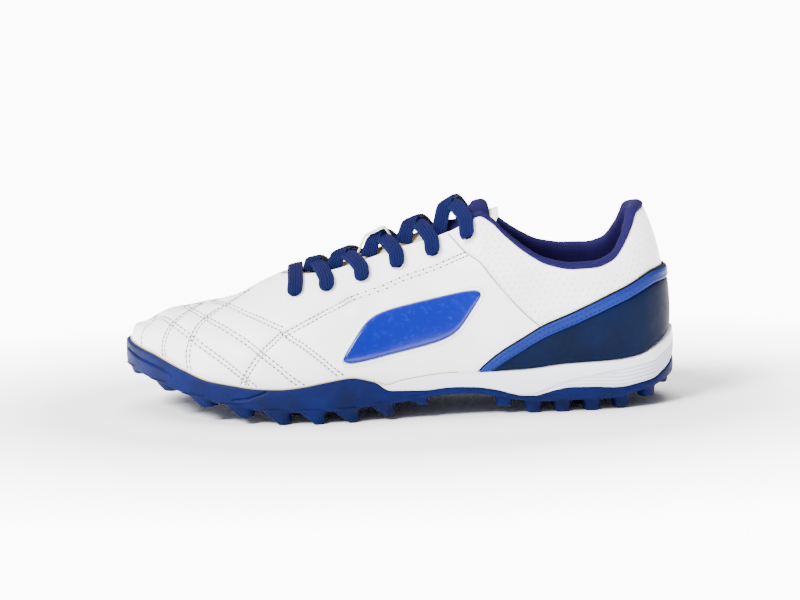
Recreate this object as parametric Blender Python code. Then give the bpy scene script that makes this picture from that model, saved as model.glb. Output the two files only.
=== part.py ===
# A left football shoe with a short-lugged rubber outsole, standing empty on a level floor.
# Metres, +Z up. The toe points to -X, the outer side to -Y, the inner side to +Y.
# The origin is the middle of the shoe's bounding box, at floor level.

import functools
import math

import bmesh
import bpy

# Sizes of the last and the upper
LENGTH = 0.285
BALL_WIDTH = 0.103
HEEL_WIDTH = 0.073
TOE_SWING = 0.016
VAMP_HEIGHT = 0.0702
INSTEP_HEIGHT = 0.100
ANKLE_HEIGHT = 0.0725
ANKLE_INNER_RISE = 0.003
HEEL_HEIGHT = 0.101
HEEL_LEAN = 0.0115
TOE_LEAN = 0.0037
THROAT_HALF_WIDTH = 0.0135
COLLAR_HALF_WIDTH = 0.030
UPPER_WALL = 0.002

# Sizes of the sole
SOLE_HEIGHT = 0.0255
LUG_HEIGHT = 0.006
LIP_THICKNESS = 0.0025
INSOLE_THICKNESS = 0.0035
RIB_DEPTH = 0.0007
BUMPER_GROOVE_DEPTH = 0.0007

# Sizes of the trim
FIT_GAP = 0.0003
OVERLAY_GAP = 0.0007
SPLIT_GAP = 0.0007
LACE_LIFT = 0.0011
OVERLAY_THICKNESS = 0.0012
TRIM_WIDTH = 0.0056
PANEL_THICKNESS = 0.0013
PANEL_LENGTH = 0.060
PANEL_HEIGHT = 0.022
PANEL_ALONG = 0.478
PANEL_CENTRE_SHARE = 0.40
PANEL_SLANT = 0.80
PANEL_TILT = 0.20
PANEL_ROUNDNESS = 5.0
PANEL_END_SHARE = 0.004
PANEL_ROWS = 6
PANEL_COLUMNS = 12
COLLAR_PADDING = 0.0055
COLLAR_DEPTH = 0.028
COLLAR_RIM = 0.0042
TONGUE_THICKNESS = 0.0045
TONGUE_HALF_WIDTH = 0.024
TONGUE_PAST_COLLAR = 0.013
LACE_WIDTH = 0.0073
LACE_THICKNESS = 0.0020
EYELET_DIAMETER = 0.0042
LOOP_WIDTH = 0.0075
LOOP_LENGTH = 0.021
LOOP_THICKNESS = 0.0009

# Sizes of the lugs: half length along the shoe and half width across it, at the root
EDGE_LUG_HALF_LENGTH = 0.0060
EDGE_LUG_HALF_WIDTH = 0.0052
EDGE_LUG_INSET = 0.0070
HEEL_LUG_PITCH = 0.0150
TOE_LUG_PITCH = 0.0185
INNER_LUG_HALF_LENGTH = 0.0050
INNER_LUG_HALF_WIDTH = 0.0046
LUG_TAPER = 0.70
LUG_ROOT_DEPTH = 0.0015
HEEL_LUG_PAIRS = 7
TOE_LUG_PAIRS = 9

# Places along the shoe, as shares of the length from the back of the heel
THROAT_FRONT = 0.7115
COLLAR_FRONT = 0.353
COLLAR_PAD_FRONT = 0.372
TONGUE_TOE_END = 0.745
MIDSOLE_NOSE = 0.5235
NOSE_STEP = 0.0012
ANKLE_LOW = 0.185
EYELETS = (0.685, 0.627, 0.5635, 0.500, 0.4365, 0.374)

# How far each eyelet lies below the throat's edge, from the toe up
EYELET_INSETS = (0.0160, 0.0125, 0.0112, 0.0095, 0.0078, 0.0066)

# The sole's outline. Half width is a share of the heel width plus a share of the ball width.
# Swing is the share of TOE_SWING by which the middle line leans to the inner side.
OUTLINE = (
    # along, of heel width, of ball width, swing
    (0.00, 0.000, 0.000, 0.00),
    (0.03, 0.295, 0.000, 0.00),
    (0.06, 0.390, 0.000, -0.01),
    (0.10, 0.452, 0.000, -0.02),
    (0.15, 0.488, 0.000, -0.05),
    (0.20, 0.500, 0.000, -0.09),
    (0.30, 0.400, 0.072, -0.19),
    (0.40, 0.240, 0.189, -0.28),
    (0.50, 0.080, 0.334, -0.32),
    (0.60, 0.000, 0.442, -0.28),
    (0.68, 0.000, 0.479, -0.14),
    (0.75, 0.000, 0.488, 0.05),
    (0.80, 0.000, 0.474, 0.20),
    (0.85, 0.000, 0.437, 0.37),
    (0.90, 0.000, 0.374, 0.56),
    (0.95, 0.000, 0.272, 0.78),
    (0.98, 0.000, 0.175, 0.93),
    (1.00, 0.000, 0.000, 1.00),
)

# Heights of the sole above the lugs' roots on the flat, as shares of SOLE_HEIGHT less LUG_HEIGHT.
# Bite is the top edge of the sole's lip, where the upper comes out of it.
BITE = (
    (0.000, 1.650), (0.022, 1.355), (0.044, 1.190), (0.066, 1.077), (0.109, 1.005), (0.196, 0.974),
    (0.284, 0.862), (0.371, 0.846), (0.414, 0.856), (0.458, 0.805), (0.502, 0.713), (0.5235, 0.631),
    (0.546, 0.718), (0.589, 0.862), (0.633, 0.790), (0.676, 0.682), (0.720, 0.620), (0.763, 0.641),
    (0.807, 0.718), (0.851, 0.805), (0.894, 1.026), (0.960, 1.385), (1.000, 1.540),
)
# Floor is the bed inside the lip, on which the upper and the insole stand.
FLOOR = (
    (0.000, 1.030), (0.022, 0.890), (0.050, 0.780), (0.100, 0.720), (0.200, 0.697), (0.300, 0.651),
    (0.400, 0.595), (0.460, 0.564), (0.5235, 0.523), (0.600, 0.349), (0.680, 0.272), (0.760, 0.297),
    (0.850, 0.477), (0.900, 0.662), (0.950, 0.908), (1.000, 1.159),
)
# Split is the line between the outsole and the midsole.
SPLIT = (
    (0.000, 0.841), (0.022, 0.574), (0.044, 0.405), (0.066, 0.349), (0.109, 0.277), (0.153, 0.323),
    (0.196, 0.344), (0.220, 0.303), (0.240, 0.236), (0.262, 0.164), (0.284, 0.174), (0.305, 0.241),
    (0.328, 0.344), (0.371, 0.451), (0.414, 0.475), (0.458, 0.431), (0.502, 0.460), (0.5235, 0.475),
    (1.000, 0.475),
)
# Base is the underside between the lugs. It is level where it is 0.
BASE = (
    (0.000, 0.436), (0.012, 0.360), (0.038, 0.230), (0.083, 0.100), (0.120, 0.000), (0.240, 0.000),
    (0.290, 0.077), (0.325, 0.180), (0.370, 0.275), (0.410, 0.290), (0.457, 0.256), (0.500, 0.154),
    (0.560, 0.062), (0.600, 0.000), (0.710, 0.000), (0.742, 0.036), (0.815, 0.185), (0.875, 0.344),
    (0.950, 0.641), (1.000, 0.872),
)
# Lug length, as a share of LUG_HEIGHT
LUG_LENGTH = (
    (0.000, 0.70), (0.012, 0.77), (0.038, 0.90), (0.083, 0.95), (0.120, 1.00), (0.240, 1.00),
    (0.300, 0.90), (0.370, 0.35), (0.457, 0.40), (0.500, 0.75), (0.560, 0.90), (0.600, 1.00),
    (0.710, 1.00), (0.763, 0.92), (0.835, 0.75), (0.894, 0.60), (0.960, 0.45), (1.000, 0.35),
)

# The top line of the upper, in four stretches from the toe back to the heel
# Toe to throat: share of VAMP_HEIGHT on the middle line
VAMP_LINE = (
    (1.000, 0.670), (0.970, 0.702), (0.943, 0.744), (0.889, 0.783), (0.837, 0.820), (0.790, 0.869),
    (0.756, 0.926), (0.723, 0.979), (0.7115, 1.000),
)
# Throat edge: share of the way from VAMP_HEIGHT up to INSTEP_HEIGHT
THROAT_LINE = (
    (0.660, 0.054), (0.623, 0.110), (0.563, 0.279), (0.500, 0.480), (0.438, 0.640), (0.407, 0.748),
    (0.372, 0.920), (0.353, 1.000),
)
# Front of the collar: share of the way from ANKLE_HEIGHT up to INSTEP_HEIGHT
COLLAR_FRONT_LINE = ((0.330, 0.873), (0.307, 0.636), (0.268, 0.309), (0.230, 0.091), (0.185, 0.000))
# Back of the collar: share of the way from ANKLE_HEIGHT up to HEEL_HEIGHT
COLLAR_BACK_LINE = (
    (0.143, 0.010), (0.107, 0.116), (0.071, 0.428), (0.047, 0.674), (0.020, 0.930), (0.000, 1.000),
)

# Half width of the top edge: a share of the throat's plus a share of the collar's
EDGE_WIDTH = (
    # along, of throat, of collar
    (0.0000, 0.000, 0.930),
    (0.0200, 0.000, 0.940),
    (0.0470, 0.000, 0.955),
    (0.0710, 0.000, 0.975),
    (0.1070, 0.000, 1.005),
    (0.1430, 0.000, 1.013),
    (0.1850, 0.000, 1.000),
    (0.2300, 0.000, 0.950),
    (0.2680, 0.150, 0.817),
    (0.3070, 0.400, 0.587),
    (0.3300, 0.600, 0.413),
    (0.3530, 0.900, 0.210),
    (0.4000, 1.060, 0.027),
    (0.5000, 1.000, 0.000),
    (0.6000, 0.970, 0.000),
    (0.6500, 0.930, 0.000),
    (0.6800, 0.780, 0.000),
    (0.7000, 0.480, 0.000),
    (0.7080, 0.250, 0.000),
    (0.7115, 0.000, 0.000),
    (1.0000, 0.000, 0.000),
)

# How each section of the upper swells. Bulge is a share of the local half width, low and high are the
# reach of the curve's two handles, and stand is 0 for a level top edge and 1 for an upright one.
SECTIONS = (
    # along, bulge, low, high, stand
    (0.00, 0.10, 0.45, 0.50, 0.30),
    (0.10, 0.10, 0.45, 0.50, 0.27),
    (0.185, 0.09, 0.45, 0.50, 0.31),
    (0.25, 0.06, 0.42, 0.50, 0.32),
    (0.30, 0.04, 0.42, 0.52, 0.29),
    (0.353, 0.03, 0.42, 0.55, 0.26),
    (0.40, 0.03, 0.42, 0.55, 0.24),
    (0.46, 0.04, 0.42, 0.55, 0.22),
    (0.60, 0.05, 0.42, 0.55, 0.00),
    (0.70, 0.06, 0.46, 0.56, 0.00),
    (0.80, 0.06, 0.50, 0.58, 0.00),
    (0.90, 0.05, 0.55, 0.62, 0.00),
    (1.00, 0.04, 0.55, 0.66, 0.00),
)

# The upper line of the counter's band: share of the way from the bite at the heel up to VAMP_HEIGHT
COUNTER_LINE = (
    (0.000, 1.000), (0.026, 0.975), (0.100, 0.720), (0.215, 0.310), (0.244, 0.205), (0.283, 0.010),
    (0.328, -0.230), (0.352, -0.400), (0.380, -0.600), (1.000, -0.600),
)

# Half width of the tongue, as a share of TONGUE_HALF_WIDTH
TONGUE_WIDTH = (
    (0.00, 0.66), (0.36, 0.66), (0.40, 0.79), (0.44, 0.93), (0.50, 1.00), (0.60, 0.96), (0.70, 0.83),
    (0.745, 0.66), (1.00, 0.66),
)

# Lugs inside the rows along the edge
INNER_LUGS = (
    # along, offset from the middle line as a share of the local half width
    (0.100, 0.00), (0.175, -0.27), (0.175, 0.27), (0.245, 0.00),
    (0.545, 0.00), (0.590, -0.35), (0.590, 0.35), (0.640, 0.00), (0.690, -0.38), (0.690, 0.38),
    (0.740, 0.00), (0.790, -0.36), (0.790, 0.36), (0.845, 0.00), (0.900, 0.00),
)

STATION_COUNT = 22
UPPER_ROWS = (-1.0, -0.5, 0.0, 0.09, 0.2, 0.32, 0.45, 0.58, 0.7, 0.81, 0.91, 1.0)
DIFFERENCE_STEP = 0.0005


def angle_at(along):
    """Turn a share of the length into the angle round the outline that has it."""
    return math.acos(max(-1.0, min(1.0, 1.0 - 2.0 * along)))


def along_at(angle):
    """Turn an angle round the outline into the share of the length from the heel."""
    return (1.0 - math.cos(angle)) / 2.0


class SmoothCurve:
    """A smooth curve through a table's rows that never overshoots them.

    It runs level into the middle of the heel and of the toe, apart from the outline's widths.
    """

    def __init__(self, rows, column=1, level_ends=True):
        ordered = sorted(rows)
        self.places = [angle_at(row[0]) for row in ordered]
        self.values = [row[column] for row in ordered]
        self.slopes = self.find_slopes()
        if level_ends:
            self.slopes[0] = 0.0
            self.slopes[-1] = 0.0

    def find_slopes(self):
        """Slope at each row: a harmonic mean of its neighbours, and 0 at a peak."""
        last = len(self.places) - 1
        steps = [self.places[i + 1] - self.places[i] for i in range(last)]
        rises = [(self.values[i + 1] - self.values[i]) / steps[i] for i in range(last)]
        slopes = [rises[0]]
        for i in range(1, last):
            if rises[i - 1] * rises[i] <= 0.0:
                slopes.append(0.0)
                continue
            before = 2.0 * steps[i] + steps[i - 1]
            after = steps[i] + 2.0 * steps[i - 1]
            slopes.append((before + after) / (before / rises[i - 1] + after / rises[i]))
        slopes.append(rises[-1])
        return slopes

    def at(self, angle):
        """The curve's value at an angle round the outline, the same on both sides."""
        place = min(max(abs(angle), self.places[0]), self.places[-1])
        i = 0
        while i < len(self.places) - 2 and place > self.places[i + 1]:
            i += 1
        step = self.places[i + 1] - self.places[i]
        t = (place - self.places[i]) / step
        start = self.values[i] * (1.0 + 2.0 * t) * (1.0 - t) ** 2
        end = self.values[i + 1] * t * t * (3.0 - 2.0 * t)
        lean_out = self.slopes[i] * step * t * (1.0 - t) ** 2
        lean_in = self.slopes[i + 1] * step * t * t * (t - 1.0)
        return start + end + lean_out + lean_in


HEEL_PART = SmoothCurve(OUTLINE, 1, False)
BALL_PART = SmoothCurve(OUTLINE, 2, False)
SWING = SmoothCurve(OUTLINE, 3)
BITE_CURVE = SmoothCurve(BITE)
FLOOR_CURVE = SmoothCurve(FLOOR)
SPLIT_CURVE = SmoothCurve(SPLIT)
BASE_CURVE = SmoothCurve(BASE)
LUG_CURVE = SmoothCurve(LUG_LENGTH)
THROAT_SHARE = SmoothCurve(EDGE_WIDTH, 1)
COLLAR_SHARE = SmoothCurve(EDGE_WIDTH, 2)
BULGE = SmoothCurve(SECTIONS, 1)
LOW_HANDLE = SmoothCurve(SECTIONS, 2)
HIGH_HANDLE = SmoothCurve(SECTIONS, 3)
STAND = SmoothCurve(SECTIONS, 4)
COUNTER_CURVE = SmoothCurve(COUNTER_LINE)
TONGUE_CURVE = SmoothCurve(TONGUE_WIDTH)


def top_line():
    """The height of the upper's top edge all the way along, joined from its four stretches."""
    rows = [(along, share * VAMP_HEIGHT) for along, share in VAMP_LINE]
    rows += [(a, VAMP_HEIGHT + s * (INSTEP_HEIGHT - VAMP_HEIGHT)) for a, s in THROAT_LINE]
    rows += [(a, ANKLE_HEIGHT + s * (INSTEP_HEIGHT - ANKLE_HEIGHT)) for a, s in COLLAR_FRONT_LINE]
    rows += [(a, ANKLE_HEIGHT + s * (HEEL_HEIGHT - ANKLE_HEIGHT)) for a, s in COLLAR_BACK_LINE]
    return SmoothCurve(rows)


TOP_LINE = top_line()


def ease(value):
    """Go smoothly from 0 to 1."""
    t = min(max(value, 0.0), 1.0)
    return t * t * (3.0 - 2.0 * t)


def sole_height(curve, angle):
    """A height of the sole from one of its tables."""
    return LUG_HEIGHT + curve.at(angle) * (SOLE_HEIGHT - LUG_HEIGHT)


def bite_height(angle):
    return sole_height(BITE_CURVE, angle)


def floor_height(angle):
    return sole_height(FLOOR_CURVE, angle)


def base_height(angle):
    return sole_height(BASE_CURVE, angle)


def edge_height(angle):
    """Height of the upper's top edge. The inner side is a little higher at the ankle."""
    along = along_at(angle)
    inner = 1.0 if angle > 0.0 else 0.0
    bump = ease(1.0 - abs(along - ANKLE_LOW) / ANKLE_LOW)
    return TOP_LINE.at(angle) + inner * bump * ANKLE_INNER_RISE


def wrap(angle):
    """Keep an angle round the outline between the two ends of the toe."""
    if angle > math.pi:
        return angle - 2.0 * math.pi
    if angle < -math.pi:
        return angle + 2.0 * math.pi
    return angle


def middle(angle):
    """How far the middle line stands to the inner side."""
    return SWING.at(angle) * TOE_SWING


def sole_edge(angle):
    """A point of the sole's outline, seen from above."""
    turned = wrap(angle)
    half = HEEL_PART.at(turned) * HEEL_WIDTH + BALL_PART.at(turned) * BALL_WIDTH
    side = math.copysign(1.0, turned)
    return LENGTH / 2.0 - LENGTH * along_at(turned), middle(turned) + side * half


def outline(angle, inset):
    """The sole's outline moved inwards by inset, square to itself."""
    x, y = sole_edge(angle)
    before = sole_edge(angle - DIFFERENCE_STEP)
    after = sole_edge(angle + DIFFERENCE_STEP)
    run = after[0] - before[0]
    rise = after[1] - before[1]
    size = math.hypot(run, rise)
    return x - inset * rise / size, y + inset * run / size


FOOT_INSET = LIP_THICKNESS + FIT_GAP


def foot_half_width(angle):
    """Half width of the upper where it comes out of the sole."""
    return abs(outline(angle, FOOT_INSET)[1] - middle(angle))


ANKLE_FOOT_HALF = foot_half_width(angle_at(ANKLE_LOW))


def edge_share(angle):
    """Half width of the top edge, as a share of the upper's half width at the sole."""
    throat = THROAT_SHARE.at(angle)
    share = COLLAR_SHARE.at(angle) * COLLAR_HALF_WIDTH / ANKLE_FOOT_HALF
    if throat > 0.0:
        share += throat * THROAT_HALF_WIDTH / foot_half_width(angle)
    return share


def blend(a, b, c, d, t):
    """A cubic curve with ends a and d and handles b and c."""
    s = 1.0 - t
    return a * s ** 3 + 3.0 * b * s * s * t + 3.0 * c * s * t * t + d * t ** 3


def dome_share(angle, t):
    """Half width of a full dome over the foot, as a share: 1 at the sole, 0 on the middle line."""
    return blend(1.0, 1.0 + BULGE.at(angle), HIGH_HANDLE.at(angle), 0.0, t)


@functools.lru_cache(maxsize=None)
def dome_cut(angle):
    """Where along the dome the throat's edge lies."""
    edge = edge_share(angle)
    if edge <= 0.0:
        return 1.0
    low, high = 0.4, 1.0
    for _ in range(40):
        mid = (low + high) / 2.0
        if dome_share(angle, mid) > edge:
            low = mid
        else:
            high = mid
    return (low + high) / 2.0


def dome_weight(angle):
    """1 where the section is a dome cut by the throat, 0 where it stands open round the ankle."""
    return ease((along_at(angle) - 0.34) / 0.12)


def skin_height(angle, v):
    """Height of the upper's outer surface. v is 0 at the bite and 1 at the top edge."""
    bite = bite_height(angle)
    if v < 0.0:
        return bite + v * (bite - floor_height(angle) - FIT_GAP)
    top = edge_height(angle)
    rise = top - bite
    low = LOW_HANDLE.at(angle)
    high = top - HIGH_HANDLE.at(angle) * STAND.at(angle) * rise
    standing = blend(bite, bite + low * rise, high, top, v)
    weight = dome_weight(angle)
    if weight == 0.0:
        return standing
    end = dome_cut(angle)
    domed = bite + rise * blend(0.0, low, 1.0, 1.0, v * end) / blend(0.0, low, 1.0, 1.0, end)
    return standing + weight * (domed - standing)


def skin_share(angle, v):
    """Half width of the upper's outer surface, as a share of its half width at the sole."""
    if v < 0.0:
        return 1.0
    edge = edge_share(angle)
    high = edge + HIGH_HANDLE.at(angle) * (1.0 - edge) * (1.0 - STAND.at(angle))
    standing = blend(1.0, 1.0 + BULGE.at(angle), high, edge, v)
    weight = dome_weight(angle)
    if weight == 0.0:
        return standing
    domed = dome_share(angle, v * dome_cut(angle))
    return standing + weight * (domed - standing)


def set_back(angle, z):
    """How far the heel's back and the toe's front lean towards the middle of the shoe at a height."""
    along = along_at(angle)
    heel_foot = bite_height(0.0)
    toe_foot = bite_height(math.pi)
    heel = max(0.0, (z - heel_foot) / (HEEL_HEIGHT - heel_foot))
    toe = max(0.0, (z - toe_foot) / (edge_height(math.pi) - toe_foot))
    heel_fade = ease(1.0 - along / 0.35)
    toe_fade = ease(1.0 - (1.0 - along) / 0.15)
    return TOE_LEAN * min(toe, 1.5) ** 1.6 * toe_fade - HEEL_LEAN * heel ** 2.6 * heel_fade


def skin(angle, v):
    """A point of the upper's outer surface."""
    turned = wrap(angle)
    x, y = outline(turned, FOOT_INSET)
    x_between = (x + outline(-turned, FOOT_INSET)[0]) / 2.0
    z = skin_height(turned, v)
    centre = middle(turned)
    share = skin_share(turned, v)
    return (x_between + (x - x_between) * share + set_back(turned, z), centre + (y - centre) * share, z)


def minus(a, b):
    return (a[0] - b[0], a[1] - b[1], a[2] - b[2])


def plus(a, b, reach=1.0):
    return (a[0] + b[0] * reach, a[1] + b[1] * reach, a[2] + b[2] * reach)


def cross(a, b):
    return (a[1] * b[2] - a[2] * b[1], a[2] * b[0] - a[0] * b[2], a[0] * b[1] - a[1] * b[0])


def unit(a):
    size = math.sqrt(a[0] ** 2 + a[1] ** 2 + a[2] ** 2)
    return (a[0] / size, a[1] / size, a[2] / size)


def skin_up(angle, v):
    """Direction up the upper's surface, across the shoe."""
    low = max(v - DIFFERENCE_STEP, -1.0)
    high = min(v + DIFFERENCE_STEP, 1.0)
    if v >= 0.0 > low:
        low = 0.0
    if v < 0.0 <= high:
        high = v
    return unit(minus(skin(angle, high), skin(angle, low)))


def skin_normal(angle, v):
    """Direction straight out of the upper's surface."""
    round_way = minus(skin(angle + DIFFERENCE_STEP, v), skin(angle - DIFFERENCE_STEP, v))
    return unit(cross(round_way, skin_up(angle, v)))


def lifted(angle, v, lift):
    """A point at a height above the upper's surface, or under it where lift is less than 0."""
    return plus(skin(angle, v), skin_normal(angle, v), lift)


def row_at_height(angle, z):
    """The v at which the upper's surface reaches a height."""
    low, high = 0.0, 1.0
    for _ in range(32):
        mid = (low + high) / 2.0
        if skin_height(angle, mid) < z:
            low = mid
        else:
            high = mid
    return (low + high) / 2.0


def row_at_share(angle, share):
    """The v on the upper half of a section at which its half width falls to a share."""
    low, high = 0.35, 1.0
    for _ in range(32):
        mid = (low + high) / 2.0
        if skin_share(angle, mid) > share:
            low = mid
        else:
            high = mid
    return (low + high) / 2.0


def row_below_edge(angle, distance):
    """The v that lies a distance down the surface from the top edge."""
    count = 60
    left = distance
    last = skin(angle, 1.0)
    for i in range(1, count + 1):
        v = 1.0 - i / count
        here = skin(angle, v)
        step = math.dist(last, here)
        if step > left:
            return v + (1.0 - left / step) / count
        left -= step
        last = here
    return 0.0


def all_stations():
    """Angles of the cross-sections on one side, heel to toe, closer at the ends and the throat."""
    angles = [math.pi * i / STATION_COUNT for i in range(STATION_COUNT + 1)]
    places = (THROAT_FRONT, 0.708, 0.700, 0.690, COLLAR_FRONT, 0.339, 0.324, MIDSOLE_NOSE)
    special = [angle_at(place) for place in places]
    close = 0.022
    kept = [a for a in angles if all(abs(a - s) > close for s in special) or a in (0.0, math.pi)]
    return sorted(kept + special)


STATIONS = all_stations()
LOOP = STATIONS + [-angle for angle in reversed(STATIONS[1:-1])]


def add_object(name, points, faces, material):
    """Make one closed body from its points and faces, faces out, in its own material."""
    mesh = bpy.data.meshes.new(name)
    work = bmesh.new()
    corners = [work.verts.new(point) for point in points]
    for face in faces:
        work.faces.new([corners[i] for i in face])
    bmesh.ops.remove_doubles(work, verts=work.verts, dist=0.000004)
    bmesh.ops.dissolve_degenerate(work, edges=work.edges, dist=0.000004)
    bmesh.ops.recalc_face_normals(work, faces=work.faces)
    bmesh.ops.triangulate(work, faces=work.faces, quad_method="SHORT_EDGE", ngon_method="EAR_CLIP")
    work.to_mesh(mesh)
    work.free()
    mesh.materials.append(material)
    mesh.shade_smooth()
    mesh.set_sharp_from_angle(angle=math.radians(40.0))
    body = bpy.data.objects.new(name, mesh)
    bpy.context.scene.collection.objects.link(body)
    return body


def combine(body, other, operation):
    """Join another solid into a body, or cut it out of the body, for good."""
    change = body.modifiers.new(operation.lower(), "BOOLEAN")
    change.operation = operation
    change.solver = "EXACT"
    change.object = other
    bpy.context.view_layer.update()
    evaluated = body.evaluated_get(bpy.context.evaluated_depsgraph_get())
    mesh = bpy.data.meshes.new_from_object(evaluated)
    body.modifiers.clear()
    body.data = mesh
    bpy.data.objects.remove(other)


def make_material(name, colour, roughness):
    """A plain finish with the part's colour."""
    material = bpy.data.materials.new(name)
    material.use_nodes = True
    shader = material.node_tree.nodes["Principled BSDF"]
    shader.inputs["Base Color"].default_value = (*colour, 1.0)
    shader.inputs["Roughness"].default_value = roughness
    shader.inputs["Metallic"].default_value = 0.0
    return material


def ring_faces(rows, columns, closed_rows, skip=None):
    """Faces between rows of points that each go round a closed loop."""
    faces = []
    count = rows if closed_rows else rows - 1
    for j in range(count):
        above = (j + 1) % rows
        for i in range(columns):
            beside = (i + 1) % columns
            if skip and skip(j, i):
                continue
            faces.append((j * columns + i, j * columns + beside, above * columns + beside, above * columns + i))
    return faces


def cap(points, faces, pairs):
    """Close a loop straight across, with a middle line between each pair of facing points."""
    first = len(points)
    for near, far in pairs:
        points.append(tuple((a + b) / 2.0 for a, b in zip(points[near], points[far])))
    for i in range(len(pairs) - 1):
        near, far = pairs[i]
        next_near, next_far = pairs[i + 1]
        faces.append((near, next_near, first + i + 1, first + i))
        faces.append((first + i, first + i + 1, next_far, far))


def loop_solid(name, loops, material):
    """A solid from closed loops stacked one on another, capped straight across at both ends."""
    columns = len(loops[0])
    points = [point for loop in loops for point in loop]
    faces = ring_faces(len(loops), columns, False)
    for start in (0, (len(loops) - 1) * columns):
        cap(points, faces, [(start + i, start + (columns - i) % columns) for i in range(columns // 2 + 1)])
    return add_object(name, points, faces, material)


def strip_solid(name, sections, material):
    """A solid from closed sections in a row, capped at its two ends."""
    sides = len(sections[0])
    points = [point for section in sections for point in section]
    faces = ring_faces(len(sections), sides, False)
    faces.append(tuple(range(sides)))
    faces.append(tuple(range((len(sections) - 1) * sides, len(sections) * sides)))
    return add_object(name, points, faces, material)


def sole_loop(angles, inset, height):
    """One level of a sole: its outline moved in by inset, at a height that changes along it."""
    loop = []
    for angle in angles:
        x, y = outline(angle, inset(angle) if callable(inset) else inset)
        loop.append((x, y, height(angle)))
    return loop


def behind_nose(angle):
    """Whether a station lies under the midsole."""
    return along_at(angle) <= MIDSOLE_NOSE + NOSE_STEP / 2.0


def rim_height(angle):
    """Top of the outsole's side: the bite in front, and the split line under the midsole."""
    return sole_height(SPLIT_CURVE, angle) if behind_nose(angle) else bite_height(angle)


def bed_height(angle):
    """Top of the outsole inside its side: the floor in front, and the split line under the midsole."""
    return sole_height(SPLIT_CURVE, angle) if behind_nose(angle) else floor_height(angle)


def bumper_share(angle):
    """1 round the toe, 0 behind it."""
    return ease((along_at(angle) - 0.84) / 0.06)


def make_outsole(material):
    """Rubber cup: tread base, side wall with its bumper groove, lip, and the bed inside."""
    step = angle_at(MIDSOLE_NOSE + NOSE_STEP)
    side = sorted(STATIONS + [step])
    angles = side + [-angle for angle in reversed(side[1:-1])]

    def between(share):
        return lambda angle: base_height(angle) + share * (rim_height(angle) - base_height(angle))

    def groove(angle):
        return 0.0002 + BUMPER_GROOVE_DEPTH * bumper_share(angle)

    loops = [
        sole_loop(angles, 0.0030, base_height),
        sole_loop(angles, 0.0008, between(0.20)),
        sole_loop(angles, 0.0, between(0.36)),
        sole_loop(angles, groove, between(0.44)),
        sole_loop(angles, 0.0, between(0.52)),
        sole_loop(angles, 0.0004, rim_height),
        sole_loop(angles, LIP_THICKNESS, rim_height),
        sole_loop(angles, LIP_THICKNESS, bed_height),
    ]
    body = loop_solid("outsole", loops, material)
    combine(body, make_lugs(material), "UNION")
    return body


def lug_points(x, y, turn, half_length, half_width, root, tip):
    """Corners of one six-sided lug that narrows to its flat tip."""
    points = []
    for z, scale in ((root, 1.0), (tip, LUG_TAPER)):
        for i in range(6):
            corner = math.radians(60.0 * i + 30.0)
            along = half_length * scale * math.cos(corner)
            across = half_width * scale * math.sin(corner)
            px = x + along * math.cos(turn) - across * math.sin(turn)
            py = y + along * math.sin(turn) + across * math.cos(turn)
            points.append((px, py, z))
    return points


def edge_lug_angles():
    """Angles of the lugs along the edge, one pitch apart from the heel's middle and the toe's."""
    angles = []
    step = 0.002
    for start, pitch, pairs in ((0.0, HEEL_LUG_PITCH, HEEL_LUG_PAIRS), (math.pi, TOE_LUG_PITCH, TOE_LUG_PAIRS)):
        for side in (-1.0, 1.0):
            way = side if start == 0.0 else -side
            angle = start * side
            here = outline(angle, EDGE_LUG_INSET)
            gone = pitch / 2.0
            placed = 0
            while placed < pairs:
                angle += way * step
                there = outline(angle, EDGE_LUG_INSET)
                gone += math.dist(here, there)
                here = there
                if gone >= pitch:
                    gone -= pitch
                    placed += 1
                    angles.append(angle)
    return angles


def make_lugs(material):
    """All the lugs as one mesh of separate closed bodies, ready to be joined to the base."""
    spots = []
    for angle in edge_lug_angles():
        x, y = outline(angle, EDGE_LUG_INSET)
        x_next, y_next = outline(angle + 0.01, EDGE_LUG_INSET)
        turn = math.atan2(y_next - y, x_next - x)
        spots.append((angle, x, y, turn, EDGE_LUG_HALF_LENGTH, EDGE_LUG_HALF_WIDTH))
    for along, offset in INNER_LUGS:
        angle = angle_at(along)
        x, edge = sole_edge(angle)
        y = middle(angle) + offset * (edge - middle(angle))
        spots.append((angle, x, y, 0.0, INNER_LUG_HALF_LENGTH, INNER_LUG_HALF_WIDTH))
    points = []
    faces = []
    for angle, x, y, turn, half_length, half_width in spots:
        base = base_height(angle)
        tip = base - LUG_CURVE.at(angle) * LUG_HEIGHT
        first = len(points)
        points += lug_points(x, y, turn, half_length, half_width, base + LUG_ROOT_DEPTH, tip)
        faces += [(first + i, first + (i + 1) % 6, first + 6 + (i + 1) % 6, first + 6 + i) for i in range(6)]
        faces.append(tuple(first + i for i in range(6)))
        faces.append(tuple(first + 6 + i for i in range(6)))
    return add_object("lugs", points, faces, material)


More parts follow.
